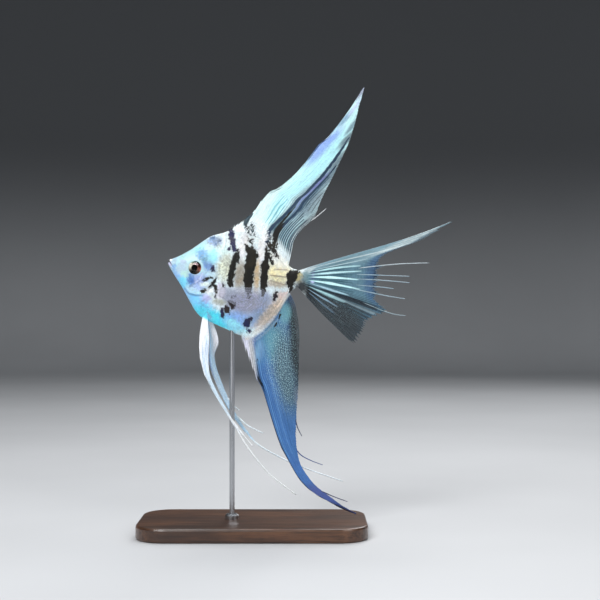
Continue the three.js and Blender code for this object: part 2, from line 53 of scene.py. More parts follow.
NOSE_UP = math.radians(7)
STALK_END = 76.5
SKIN_END = 80.5  # the skin runs on over the root of the tail fin
COAT = 0.2  # how far the skin lies inside the CAD body
SECTION_POWER = 1.15  # 1 is an ellipse, more is a sharper back and belly

EYE = {"x": 16.1, "z": -1.5, "radius": 3.7}
PUPIL = {"radius": 1.85, "x": -0.1, "z": -0.05}
NOSTRIL = {"x": 8.6, "z": 2.9, "radius": 0.42}
PECTORAL_ROOT = {"x": 31.8, "z": -13.5, "swell": 0.45}

MEMBRANE_HALF = 0.11  # half the thickness of a fin between its rays
RAY_HALF = 0.24

SIDES = (("left", -1), ("right", 1))
RNG = np.random.default_rng(7)


# ---------------------------------------------------------------- numbers


def smooth_through(points):
    """A function through (x, y) pairs that never swings past them."""
    xs, ys = np.array(points, float).T
    slopes = np.diff(ys) / np.diff(xs)
    tangents = np.concatenate([slopes[:1], np.zeros(len(xs) - 2), slopes[-1:]])
    before, after = slopes[:-1], slopes[1:]
    same_way = before * after > 0
    total = np.where(same_way, before + after, 1)
    tangents[1:-1] = np.where(same_way, 2 * before * after / total, 0)

    def curve(x):
        x = np.asarray(x, float)
        i = np.clip(np.searchsorted(xs, x) - 1, 0, len(xs) - 2)
        width = xs[i + 1] - xs[i]
        t = np.clip((x - xs[i]) / width, 0, 1)
        rise = t * t * (3 - 2 * t) * (ys[i + 1] - ys[i])
        lead = t * (1 - t) ** 2 * width * tangents[i]
        tail = t * t * (t - 1) * width * tangents[i + 1]
        return ys[i] + rise + lead + tail

    return curve


def smooth_step(value, low, high):
    t = np.clip((value - low) / (high - low), 0, 1)
    return t * t * (3 - 2 * t)


def mix(a, b, share):
    return a + (b - a) * share


def catmull_rom(before, start, end, after, t):
    return 0.5 * (
        2 * start
        + (end - before) * t
        + (2 * before - 5 * start + 4 * end - after) * t**2
        + (3 * start - 3 * end + after - before) * t**3
    )


def spline(points, count, closed=False):
    """Points evenly spread in parameter on a smooth curve through the given ones."""
    p = np.array(points, float)
    n = len(p) if closed else len(p) - 1
    at = np.linspace(0, n, count, endpoint=not closed)
    i = np.minimum(at.astype(int), n - 1)
    t = (at - i)[:, None]
    if closed:
        ends = [p[(i + k) % len(p)] for k in (-1, 0, 1, 2)]
    else:
        ends = [p[np.clip(i + k, 0, len(p) - 1)] for k in (-1, 0, 1, 2)]
    return catmull_rom(*ends, t)


def depth_in_stroke(x, z, stroke):
    """How far inside a painted stroke of (x, z, radius) points each point lies; outside it is negative."""
    best = np.full(np.shape(x), -1e9)
    ends = list(zip(stroke, stroke[1:])) or [(stroke[0], stroke[0])]
    for (x0, z0, r0), (x1, z1, r1) in ends:
        dx, dz = x1 - x0, z1 - z0
        t = np.clip(((x - x0) * dx + (z - z0) * dz) / max(dx * dx + dz * dz, 1e-9), 0, 1)
        away = np.hypot(x - x0 - t * dx, z - z0 - t * dz)
        best = np.maximum(best, mix(r0, r1, t) - away)
    return best


def distance_to_line(x, z, line):
    return -depth_in_stroke(x, z, [(*point, 0.0) for point in line])


def inside_loop(x, z, loop):
    inside = np.zeros(np.shape(x), bool)
    for (x0, z0), (x1, z1) in zip(loop, np.roll(loop, -1, axis=0)):
        crosses = (z0 > z) != (z1 > z)
        reach = x0 + (z - z0) * (x1 - x0) / (z1 - z0 if z1 != z0 else 1e-9)
        inside ^= crosses & (x < reach)
    return inside


def soft_spot(x, z, centre, radii, degrees=0):
    """1 inside an ellipse, fading to 0 outside it."""
    turn = math.radians(degrees)
    dx, dz = x - centre[0], z - centre[1]
    along = (dx * math.cos(turn) + dz * math.sin(turn)) / radii[0]
    across = (dz * math.cos(turn) - dx * math.sin(turn)) / radii[1]
    return 1 - smooth_step(np.hypot(along, across), 0.45, 1.35)


def linear(colour):
    """A colour of 0 to 255 as linear light."""
    c = np.asarray(colour, float) / 255
    return np.where(c <= 0.04045, c / 12.92, ((c + 0.055) / 1.055) ** 2.4)


# ---------------------------------------------------------------- the fish's place

eye_low, eye_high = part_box("eye_left")
EYE_MIDDLE = (eye_low + eye_high) / 2 * 1000
COS, SIN = math.cos(NOSE_UP), math.sin(NOSE_UP)
ORIGIN_X = EYE_MIDDLE.x - (EYE["x"] * COS + EYE["z"] * SIN)
ORIGIN_Z = EYE_MIDDLE.z - (EYE["z"] * COS - EYE["x"] * SIN)


def to_row(points):
    x, y, z = np.moveaxis(np.asarray(points, float), -1, 0)
    placed = [ORIGIN_X + x * COS + z * SIN, y, ORIGIN_Z + z * COS - x * SIN]
    return np.stack(placed, -1) / 1000


# ---------------------------------------------------------------- the body's shape

back_line = smooth_through([
    (0, 1.1), (6, 4.4), (12, 8.7), (18, 14), (23, 18), (28.7, 20.3), (35, 23.1), (42, 24.2), (49, 22.7),
    (56, 18.6), (63, 12), (68, 7), (72, 5), (STALK_END, 4.6), (SKIN_END, 4.9),
])
belly_line = smooth_through([
    (0, -0.9), (3, -5.5), (8.5, -12), (15, -20.9), (19, -26.2), (23, -29.4), (30, -31.9), (38, -34.4),
    (47, -36.9), (53, -36), (58, -32.2), (62.5, -26.6), (66, -20.4), (69.5, -12.6), (72.5, -7.8),
    (STALK_END, -4.9), (SKIN_END, -5.3),
])
flank_line = smooth_through([(0, 0.1), (12, -1.5), (30, -4), (50, -3), (STALK_END, -0.3), (SKIN_END, -0.3)])
half_width = smooth_through([
    (0, 1.1), (4, 2.7), (10, 4.5), (17, 5.9), (26, 6.9), (36, 7.1), (48, 6.0), (60, 4.1), (70, 2.7),
    (STALK_END, 1.9), (SKIN_END, 0.5),
])

GILL_COVER = [
    (17.5, 4.6), (24.7, 5.3), (29.3, 2.2), (30.6, -2), (29, -6.5), (25.3, -13.4), (21.6, -16.6), (16.5, -17),
    (12.6, -14.4), (14.5, -9.5), (19.5, -6.5), (21.8, -1.5), (20.8, 2.2),
]
GILL_LOOP = spline(GILL_COVER, 60, closed=True)
GILL_EDGE = [(23.5, 5.6), *GILL_COVER[1:9]]
CHEEK_FOLD = [(20.6, 3.4), (22.4, -1.5), (20.6, -6.8), (15.6, -9.8), (11.8, -11.6)]
JAW_FOLD = [(3.0, 1.7), (4.6, 0.4), (5.3, -1.6), (5.4, -3.6), (4.9, -5.2)]
THROAT_FOLD = [(9, -14), (11.5, -15.5), (15, -17), (19.5, -17)]
# Sunk and raised bands beside the head's lines: line, distance from it, height and width.
FOLDS = [
    (CHEEK_FOLD, 0, -0.20, 0.55),
    (CHEEK_FOLD, 1.0, 0.14, 0.7),
    (JAW_FOLD, 0, -0.20, 0.38),
    (THROAT_FOLD, 0, -0.20, 0.60),
]
CHEEK_PATCH = [(13.5, -7.5), (20, -5.5), (21.5, 2.5), (23, 5), (18, 5), (16, -9.5), (11, -12)]


def ridge(distance, width):
    return np.exp(-((distance / width) ** 2))


def relief(x, z):
    """How far the head's features stand out of the smooth body, in millimetres."""
    to_gill_edge = distance_to_line(x, z, GILL_EDGE)
    under_cover = inside_loop(x, z, GILL_LOOP)
    cover = 0.42 * smooth_step(to_gill_edge, 0, 0.45) * np.exp(-np.maximum(to_gill_edge - 0.5, 0) / 3.5)
    behind = -0.30 * np.exp(-to_gill_edge / 0.6)
    height = np.where(under_cover, cover, behind)
    for line, away, rise, width in FOLDS:
        height += rise * ridge(distance_to_line(x, z, line) - away, width)
    from_eye = np.hypot(x - EYE["x"], z - EYE["z"])
    height += 0.20 * ridge(from_eye - EYE["radius"] - 0.55, 0.5)
    height -= 1.5 * (1 - smooth_step(from_eye, EYE["radius"] - 0.95, EYE["radius"] - 0.30))
    from_nostril = np.hypot(x - NOSTRIL["x"], (z - NOSTRIL["z"]) * 1.3)
    height -= 0.45 * (1 - smooth_step(from_nostril, NOSTRIL["radius"] * 0.4, NOSTRIL["radius"]))
    height += 0.08 * ridge(from_nostril - NOSTRIL["radius"] - 0.2, 0.25)
    from_pectoral = np.hypot((x - PECTORAL_ROOT["x"]) / 1.1, (z - PECTORAL_ROOT["z"]) / 1.5)
    return height + PECTORAL_ROOT["swell"] * ridge(from_pectoral, 1.6)


def section(x, turn):
    """Points (y, z) of the skin's outline at x, for a turn up from the right flank."""
    middle = flank_line(x)
    rise, out = np.sin(turn), np.cos(turn)
    reach = np.where(rise > 0, back_line(x) - middle, middle - belly_line(x)) - COAT
    y = (half_width(x) - COAT) * np.sign(out) * np.abs(out) ** SECTION_POWER
    z = middle + rise * reach
    facing = smooth_step(np.abs(out), 0.05, 0.35)
    return y + np.sign(out) * relief(x, z) * facing * smooth_step(x, 4.5, 6.5), z


class Patch:
    """Part of the right side's surface as a table over two lengths, rearward (x) and across (arc)."""

    def __init__(self, xs, arcs, table):
        self.xs, self.arcs, self.table = xs, arcs, table
        out = np.cross(np.gradient(table, arcs, axis=1), np.gradient(table, xs, axis=0))
        out /= np.maximum(np.linalg.norm(out, axis=2, keepdims=True), 1e-9)
        self.outward = out * np.where(out[..., 1:2] < 0, -1, 1)

    def at(self, x, arc):
        """The point at (x, arc) and the direction outwards there."""
        i = np.clip((x - self.xs[0]) / (self.xs[1] - self.xs[0]), 0, len(self.xs) - 1.001)
        j = np.clip((arc - self.arcs[0]) / (self.arcs[1] - self.arcs[0]), 0, len(self.arcs) - 1.001)
        i0, j0 = i.astype(int), j.astype(int)
        s, t = (i - i0)[..., None], (j - j0)[..., None]
        found = []
        for table in (self.table, self.outward):
            low = mix(table[i0, j0], table[i0 + 1, j0], s)
            high = mix(table[i0, j0 + 1], table[i0 + 1, j0 + 1], s)
            found.append(mix(low, high, t))
        return found


FLAT_X = np.linspace(4, SKIN_END, 460)


def unroll_flank():
    """The right flank by x and the length of arc up from the flank line, and the arcs' lowest and highest."""
    arcs = np.linspace(-42, 34, 460)
    turns = np.linspace(-math.pi / 2, math.pi / 2, 241)
    table = np.zeros((len(FLAT_X), len(arcs), 3))
    reach = np.zeros((len(FLAT_X), 2))
    for i, x in enumerate(FLAT_X):
        y, z = section(np.full(turns.shape, x), turns)
        arc = np.concatenate([[0], np.cumsum(np.hypot(np.diff(y), np.diff(z)))])
        arc -= arc[len(turns) // 2]
        table[i, :, 0] = x
        table[i, :, 1] = np.interp(arcs, arc, y)
        table[i, :, 2] = np.interp(arcs, arc, z)
        reach[i] = arc[0], arc[-1]
    return Patch(FLAT_X, arcs, table), reach


FLANK, FLANK_REACH = unroll_flank()


def lowest_arc(x):
    return np.interp(x, FLAT_X, FLANK_REACH[:, 0])


def highest_arc(x):
    return np.interp(x, FLAT_X, FLANK_REACH[:, 1])


# The unwrap's margin, the share of its width that a flank takes, and the x and arc that the flank spans.
UNWRAP = {"margin": 0.02, "share": 0.46, "front": -6, "length": SKIN_END + 8, "arc": 92}


def unwrapped(x, arc, right):
    """The place of a point of the flank on the unwrap of the skin, left flank first."""
    rearward = (np.asarray(x) - UNWRAP["front"]) / UNWRAP["length"]
    u = UNWRAP["margin"] + UNWRAP["share"] * rearward + 0.5 * np.asarray(right)
    v = 0.5 + np.asarray(arc) / UNWRAP["arc"]
    return np.stack([u, v], -1)


# ---------------------------------------------------------------- markings

PIGMENTS = {
    "black": (16, 15, 12),
    "brown": (34, 22, 34),
    "navy": (26, 32, 78),
    "teal": (28, 58, 70),
    "deep": (30, 56, 80),
    "slate": (96, 128, 168),
    "grey": (84, 86, 96),
}
# Dark marks as strokes of (x, z, radius). They were set to half a millimetre from points that were read off
# the photo. The skin's material tears their edges.
MARKS = [
    # the bar over the shoulder: its blue top, its body, and a thin branch behind
    ("navy", [(32.5, 25, 0.6), (34.5, 19, 1.8), (37, 11, 1)]),
    ("navy", [(34, 11.5, 1), (35, 12, 0.5)]),
    ("black", [(38.5, 9, 1.1), (37.5, 2, 1.7), (37, -6, 1.8), (37.5, -8.5, 1.4)]),
    ("black", [(39.5, 11, 0.7), (40, 5, 0.7)]),
    # the broad bar at mid body, its two horns, and its line up the dorsal fin
    ("black", [(47.5, 10, 3), (47, 2, 3), (47.5, -7, 2.6), (48.5, -15, 0.5)]),
    ("black", [(43.5, 15, 0.6), (45, 13, 1.6), (46.5, 11, 2.4)]),
    ("black", [(47, 14.5, 0.7), (48, 12, 1.1), (50, 9.5, 1.5)]),
    ("black", [(43.5, 19.5, 0.3), (45.5, 16.5, 0.6)]),
    ("black", [(47, 18.5, 0.5), (46.5, 16, 0.5)]),
    ("teal", [(46, 39.5, 0.5), (44, 30, 0.7), (45.5, 21, 0.7)]),
    # the bar behind it, broken into a hook at its top
    ("black", [(56, 11, 0.9), (55.5, 4, 2.3), (56, -6, 2.1), (56.5, -12.5, 0.6)]),
    ("black", [(55.5, 18.5, 0.5), (55, 14, 0.7), (55.5, 11, 0.8)]),
    ("black", [(55.5, 13, 0.5), (59.5, 14, 0.9), (61, 11, 0.7)]),
    ("black", [(56.5, 12, 0.5), (58, 12, 0.6)]),
    ("black", [(57.5, 10, 0.6), (59.5, 6, 0.6)]),
    # the bar across the tail stalk
    ("black", [(74.5, 3.5, 1), (71.5, 1, 3), (71, -4, 2.2), (72, -9.5, 0.5)]),
    # behind the eye, on the cheek and at the gill cover's edge
    ("navy", [(26, 0, 1.1), (26.5, -1.5, 1.1)]),
    ("black", [(22, -8, 0.7), (23.5, -7, 1), (24.5, -6.5, 0.7)]),
    ("black", [(21.5, -14.5, 0.7), (22.5, -14, 1.1), (23.5, -13.5, 0.7)]),
    ("black", [(29, -6, 0.5), (27.5, -9, 1), (26, -11.5, 0.6)]),
    ("black", [(28, -10, 0.5), (29, -10.5, 0.9), (30, -14, 0.6)]),
    ("black", [(26, -6, 0.4), (27, -6, 0.3)]),
    # the nape's faint spots
    ("slate", [(23, 16.5, 0.5), (24.5, 16.5, 0.9)]),
    ("slate", [(25, 14, 0.5), (26.5, 13.5, 0.6)]),
    ("slate", [(28, 15.5, 0.5)]),
    # spots on the flank and belly
    ("grey", [(33, -8.5, 0.5), (34, -9.5, 0.9)]),
    ("grey", [(29.5, -16.5, 0.5)]),
    ("brown", [(38.5, -15.5, 0.6), (40.5, -15, 0.7)]),
    ("brown", [(38.5, -18.5, 1.1), (40, -19.5, 2.1), (40, -21, 1)]),
    ("brown", [(36.5, -21, 0.6), (37, -23, 1.9), (38.5, -24.5, 0.9)]),
    ("navy", [(34, -23, 0.6), (35, -25.5, 1.3), (35, -27, 1)]),
    ("brown", [(63.5, -9.5, 0.9), (63.5, -12, 1.2), (63, -14, 0.7)]),
    ("navy", [(51, -26, 0.8), (49.5, -28, 1.9), (49, -30, 1.8)]),
    ("navy", [(50, -33, 0.7), (50, -34, 1)]),
]
GROUND = (230, 244, 248)
# Soft patches of ground colour, each over the ones before: centre, radii, turn, colour, strength.
PATCHES = [
    ((13, -1), (18, 17), 0, (174, 212, 230), 0.95),  # head
    ((17, 9.4), (17, 4.4), 38, (178, 222, 228), 0.9),  # forehead
    ((3.5, -0.4), (5, 4), 0, (160, 190, 204), 0.8),  # snout
    # Pale lip with a painted highlight on it.
    ((1.3, 1.5), (1.4, 1), 0, (240, 240, 250), 0.9),  # upper lip
    ((0.9, -1.2), (1.5, 1.4), 0, (206, 194, 226), 0.8),  # lower lip
    # The chin's blue and cyan: partly the fish's own blue and partly painted reflection of blue light from
    # below.
    ((9, -12), (11, 2.6), -57, (134, 186, 246), 0.85),  # chin
    ((10.3, -10.5), (3.6, 3.8), 0, (112, 222, 252), 0.8),  # chin, low
    ((9.2, -2.4), (3.8, 4.2), 0, (182, 208, 226), 0.85),  # lores
    ((8.7, 1.2), (2.6, 1.2), 0, (162, 182, 206), 0.75),  # lores, top
    ((7.8, 4), (1.5, 1), 0, (166, 220, 204), 0.7),  # lores, mint
    ((5.7, 0.2), (1.1, 3.6), -15, (176, 220, 226), 0.9),  # behind lips
    ((4.1, -2.4), (1.1, 2), -15, (136, 180, 228), 0.85),  # lip corner
    ((11.4, -5.6), (3.4, 1.9), -15, (186, 228, 216), 0.85),  # under lores
    ((16, -1.4), (5.4, 4.8), 0, (184, 220, 216), 0.85),  # round eye
    ((17.2, 9), (3.6, 2.2), 30, (150, 228, 242), 0.6),  # brow
    ((19.4, 6.6), (3.8, 3.2), 0, (62, 146, 202), 1),  # temple
    ((21, 3.6), (1.9, 3), 0, (112, 178, 214), 0.75),  # temple, rear
    ((25.4, 6.5), (3.8, 5), 0, (146, 230, 246), 0.8),  # above cover
    ((23.6, 0.3), (3.4, 2.6), -20, (98, 136, 200), 0.9),  # behind eye
    ((19.4, -8.4), (5.6, 4.4), 0, (150, 168, 222), 0.9),  # cheek
    ((14.5, -8.5), (2.2, 4.2), 6, (62, 112, 186), 0.92),  # eye stripe
    # Pale silver of the cheek and gill cover with a painted highlight laid on it.
    ((22.8, -10), (3.2, 1.4), 20, (236, 250, 244), 0.95),  # cheek, white
    ((26, -13.2), (3, 1.6), 20, (250, 253, 253), 1),  # cover, white
    ((19.4, -12.4), (4, 1.6), -8, (170, 196, 240), 0.8),  # cover, low
    ((16.5, -17.6), (2.2, 1.8), 0, (98, 168, 228), 0.9),  # under cover
    # Throat, breast and belly: cyan, partly the fish's own blue and partly painted reflection of blue light
    # from below.
    ((21, -22), (10, 6), -32, (122, 206, 255), 0.95),  # throat
    ((24.4, -18), (3, 2.6), 0, (178, 176, 228), 0.8),  # isthmus
    ((31, -29), (18, 5.4), -14, (84, 230, 255), 1),  # breast
    ((43.5, -27), (9, 6), 0, (118, 170, 240), 0.85),  # belly
    ((41.4, -30.4), (5.4, 2.8), -20, (160, 240, 255), 0.8),  # belly, bright
    ((27.2, -27.8), (1.2, 2.6), 20, (150, 158, 206), 0.6),  # keel
    ((46, 20), (28, 9), 0, (240, 252, 253), 0.95),  # upper back
    ((42, 15), (3, 9), 0, (253, 251, 250), 0.95),  # upper flank
    ((52.6, 14), (2.8, 10), 0, (254, 253, 253), 0.95),  # upper flank, rear
    ((25.2, 14.8), (4.6, 3.2), 0, (120, 152, 210), 0.75),  # nape
    ((30.6, 10.2), (4, 4), 0, (222, 252, 248), 0.85),  # above shoulder
    ((33.2, 0.4), (4.4, 8), 0, (226, 230, 202), 0.85),  # shoulder
    ((49, -17.2), (16, 7.6), 0, (160, 160, 194), 0.95),  # lower flank
    ((57.5, -13.4), (3.6, 3.6), 0, (148, 164, 200), 0.8),  # lower flank, rear
    ((42.2, -2.6), (3.6, 8.2), 0, (172, 158, 136), 0.95),  # between bars
    ((51.6, -1.2), (2.2, 9.4), 4, (202, 178, 138), 0.98),  # stripe
    ((63.4, 1.4), (8, 7.4), 0, (252, 242, 192), 0.98),  # rear flank
    ((62, 9), (7.5, 3.6), -46, (246, 246, 236), 0.9),  # rear back
    ((62.6, -5.2), (6, 1.8), 0, (196, 174, 148), 0.7),  # rear flank, low
    ((31.2, -11), (2.2, 3.6), -30, (222, 220, 238), 0.85),  # gill slit
    ((32, -15), (2.6, 2.6), 0, (238, 236, 248), 0.95),  # pectoral base
    ((32.6, -19.2), (4.2, 1.7), 0, (168, 170, 152), 0.85),  # below pectoral
    ((56.5, -25.5), (8, 6), 35, (132, 164, 214), 0.8),  # behind belly
    ((61.6, -22.2), (14, 3.4), 55, (230, 210, 190), 0.95),  # anal fin base
    ((66.8, -11.2), (2.8, 2.6), 0, (232, 208, 198), 0.85),  # vent
    ((75.4, 0.4), (2.4, 3.6), 0, (206, 190, 118), 0.95),  # tail root
    ((79.6, 1), (2.8, 5), 0, (118, 146, 152), 0.97),  # tail root, end
    # Partly the tail bar's black, partly painted shade at the tail fin's lower root.
    ((77.8, -5), (4, 4.2), 0, (24, 28, 32), 0.97),  # tail root, low
]
# Thin lines, dark and pale, along the rear flank's rows of scales and the head's folds: points, colour.
LINES = [
    ([(61.2, 3.2, 0.16), (68.4, 3.7, 0.1)], (150, 118, 84)),
    ([(59, -0.5, 0.2), (64, -0.5, 0.26), (68, -0.5, 0.14)], (116, 88, 62)),
    ([(59.5, -3.5, 0.12), (67.5, -5, 0.16)], (150, 124, 98)),
    # A painted shadow in the throat fold, dark blue, and a painted highlight along its upper lip, pale.
    ([(11.4, -13.8, 0.1), (14.2, -16.6, 0.34), (18.5, -17.2, 0.34), (22.5, -16.8, 0.14)], (84, 140, 186)),
    ([(11.9, -12.6, 0.1), (14.6, -15.3, 0.34), (18.5, -15.8, 0.34), (22, -15.4, 0.14)], (190, 236, 252)),
    ([(20.9, -4.3, 0.1), (19.6, -7.4, 0.14), (17.4, -10, 0.1)], (214, 224, 246)),
    ([(29.2, -6.8, 0.18), (27.4, -10.4, 0.2), (25.2, -13.6, 0.14)], (214, 232, 240)),
]
# Where the ground is broken up by grey flecks: centre, radii, strength.
MOTTLED = [
    ((33, 0), (6, 9), 0.9),
    ((25.5, 14), (5, 4), 0.9),
    ((42, -3), (4.5, 9), 0.6),
    ((29, -13), (5, 6), 0.6),
    ((49, -16), (14, 7), 0.9),
    ((61.6, -22.2), (9, 9), 0.8),
    ((64, -4), (7, 4), 0.7),
    ((20, 5), (4, 4), 0.5),
]


def on_other_flank(x, y, z):
    """The right flank has the left's markings, a little shifted and reshaped.

    They meet at the back and belly.
    """
    share = smooth_step(y, 0.1, 1.6)
    moved_x = x + share * (0.9 * np.sin(0.33 * z + 1.0) + 0.7 * np.sin(0.11 * z - 0.6))
    moved_z = z + share * (0.8 * np.sin(0.29 * x + 2.0) - 0.6)
    return moved_x, moved_z


def strayed(x, z):
    """Places moved a little to and fro, which gives soft patches uneven edges."""
    moved_x = 0.50 * np.sin(1.9 * x + 1.1 * z + 0.4) * np.sin(0.8 * z - 0.5 * x + 1.7)
    moved_x += 0.36 * np.sin(3.1 * z - 1.7 * x) * np.sin(1.2 * x + 0.6)
    moved_x += 0.16 * np.sin(4.7 * x + 3.9 * z)
    moved_z = 0.50 * np.sin(1.4 * x - 2.1 * z + 2.0) * np.sin(0.7 * x + 0.9 * z)
    moved_z += 0.36 * np.sin(2.9 * x + 1.3 * z + 0.9) * np.sin(1.5 * z + 2.2)
    moved_z += 0.16 * np.sin(4.1 * x - 4.9 * z)
    return x + moved_x, z + moved_z


def markings(points):
    """Ground colour, pigment colour, depth inside the dark marks and mottling at points of the body."""
    x, z = on_other_flank(points[:, 0], points[:, 1], points[:, 2])
    patch_x, patch_z = strayed(x, z)
    ground = np.tile(linear(GROUND), (len(x), 1))
    for centre, radii, degrees, colour, strength in PATCHES:
        share = strength * soft_spot(patch_x, patch_z, centre, radii, degrees)[:, None]
        ground = mix(ground, linear(colour), share)
    for line, colour in LINES:
        share = 0.8 * smooth_step(depth_in_stroke(x, z, line), -0.42, 0.10)[:, None]
        ground = mix(ground, linear(colour), share)
    depths = np.array([depth_in_stroke(x, z, stroke) for _, stroke in MARKS])
    deepest = depths.max(0)
    weights = np.exp((depths - deepest) / 0.35)
    tones = np.array([linear(PIGMENTS[tone]) for tone, _ in MARKS])
    pigment = (weights[..., None] * tones[:, None]).sum(0) / weights.sum(0)[:, None]
    mottled = np.max([s * soft_spot(x, z, c, r) for c, r, s in MOTTLED], axis=0)
    return {
        "ground": ground,
        "pigment": pigment,
        "depth": np.clip(deepest, -2, 2),
        "mottled": mottled,
        "spot": np.stack([x, points[:, 1], z], -1),
    }


# ---------------------------------------------------------------- meshes


class Piece:
    """Points, faces, values and a UV map, gathered part by part and then made into one mesh."""

    def __init__(self):
        self.points, self.faces, self.uvs, self.values, self.flat = [], [], [], {}, []
        self.count = 0

    def add(self, points, faces, values, uv, per_corner=False):
        """faces is a list of arrays of corners, one row a face, and those of more than four corners are flat.

        uv has a row for each point, or for each corner.
        """
        for group in faces:
            group = np.asarray(group)
            corners = group.ravel()
            self.faces.append((group.shape[1], corners + self.count))
            self.flat.append(np.full(len(group), group.shape[1] > 4))
            if not per_corner:
                self.uvs.append(uv[corners])
        if per_corner:
            self.uvs.append(uv)
        for name, value in values.items():
            self.values.setdefault(name, []).append(value)
        self.points.append(points)
        self.count += len(points)

    def make(self, name, material):
        mesh = bpy.data.meshes.new(name)
        points = to_row(np.concatenate(self.points))
        corners = np.concatenate([c for _, c in self.faces])
        sizes = np.concatenate([np.full(len(c) // size, size) for size, c in self.faces])
        mesh.vertices.add(len(points))
        mesh.vertices.foreach_set("co", points.astype(np.float32).ravel())
        mesh.loops.add(len(corners))
        mesh.loops.foreach_set("vertex_index", corners.astype(np.int32))
        mesh.polygons.add(len(sizes))
        mesh.polygons.foreach_set("loop_start", (np.cumsum(sizes) - sizes).astype(np.int32))
        mesh.polygons.foreach_set("use_smooth", ~np.concatenate(self.flat))
        uv = mesh.uv_layers.new(name="OFBake")
        uv.data.foreach_set("uv", np.concatenate(self.uvs).astype(np.float32).ravel())
        mesh.update(calc_edges=True)
        for key, value in self.values.items():
            write_value(mesh, key, np.concatenate(value))
        obj = bpy.data.objects.new(name, mesh)
        bpy.context.scene.collection.objects.link(obj)
        mesh.materials.append(material)
        return obj


def write_value(mesh, name, value):
    if value.ndim == 1:
        layer = mesh.attributes.new(name, "FLOAT", "POINT")
        layer.data.foreach_set("value", value.astype(np.float32))
    else:
        layer = mesh.attributes.new(name, "FLOAT_VECTOR", "POINT")
        layer.data.foreach_set("vector", value.astype(np.float32).ravel())


def grid_faces(rows, columns, wrap=False):
    """Quads between rows x columns points laid out row by row."""
    index = np.arange(rows * columns).reshape(rows, columns)
    across = np.roll(index, -1, axis=1) if wrap else index[:, 1:]
    here = index if wrap else index[:, :-1]
    quads = np.stack([here[:-1], across[:-1], across[1:], here[1:]], -1)
    return quads.reshape(-1, 4)


# ---------------------------------------------------------------- shader nodes


class Shader:
    """A material's node tree, written as expressions."""

    def __init__(self, name):
        self.material = bpy.data.materials.new(name)
        self.material.use_nodes = True
        self.tree = self.material.node_tree
        self.tree.nodes.clear()
        self.output = self.tree.nodes.new("ShaderNodeOutputMaterial")

    def node(self, kind, inputs=None, **settings):
        node = self.tree.nodes.new(kind)
        for key, value in settings.items():
            setattr(node, key, value)
        for key, value in (inputs or {}).items():
            self.put(node.inputs[key], value)
        return node

    def put(self, socket, value):
        if isinstance(value, bpy.types.NodeSocket):
            self.tree.links.new(value, socket)
        elif np.ndim(value):
            given = [float(v) for v in value]
            size = len(socket.default_value)
            socket.default_value = given + [1.0] * (size - len(given))
        else:
            socket.default_value = float(value)

    def value(self, name, output="Fac"):
        return self.node("ShaderNodeAttribute", attribute_name=name).outputs[output]

    def math(self, operation, *values):
        inputs = dict(enumerate(values))
        return self.node("ShaderNodeMath", inputs, operation=operation).outputs[0]

    def add(self, a, b):
        return self.math("ADD", a, b)

    def times(self, a, b):
        return self.math("MULTIPLY", a, b)

    def scaled(self, vector, factors):
        inputs = {0: vector, 1: factors}
        return self.node("ShaderNodeVectorMath", inputs, operation="MULTIPLY").outputs[0]

    def noise(self, vector, scale, detail=2.0, roughness=0.5):
        inputs = {"Vector": vector, "Scale": scale, "Detail": detail, "Roughness": roughness}
        return self.node("ShaderNodeTexNoise", inputs).outputs["Fac"]

    def ramp(self, value, low, high, start=0.0, end=1.0):
        """start below low, end above high, and smooth between."""
        inputs = {"Value": value, "From Min": low, "From Max": high, "To Min": start, "To Max": end}
        return self.node("ShaderNodeMapRange", inputs, interpolation_type="SMOOTHSTEP").outputs[0]

    def mix(self, factor, a, b, blend="MIX"):
        node = self.node("ShaderNodeMix", data_type="RGBA", blend_type=blend)
        node.clamp_factor = True
        sockets = [s for s in node.inputs if s.enabled]
        for socket, value in zip(sockets, (factor, a, b), strict=True):
            self.put(socket, value)
        return next(s for s in node.outputs if s.enabled)

    def shaded(self, colour, shade):
        """A colour made lighter or darker by a number about 1."""
        grey = self.node("ShaderNodeCombineColor", {0: shade, 1: shade, 2: shade}).outputs[0]
        return self.mix(1.0, colour, grey, "MULTIPLY")

    def bump(self, height, distance, strength):
        """Millimetres of relief from a height of 0 to 1."""
        inputs = {"Height": height, "Distance": distance / 1000, "Strength": strength}
        return self.node("ShaderNodeBump", inputs).outputs[0]

    def surface(self, **inputs):
        names = {key.replace("_", " ").title().replace("Ior", "IOR"): v for key, v in inputs.items()}
        node = self.node("ShaderNodeBsdfPrincipled", names)
        self.tree.links.new(node.outputs[0], self.output.inputs["Surface"])
        return self.material


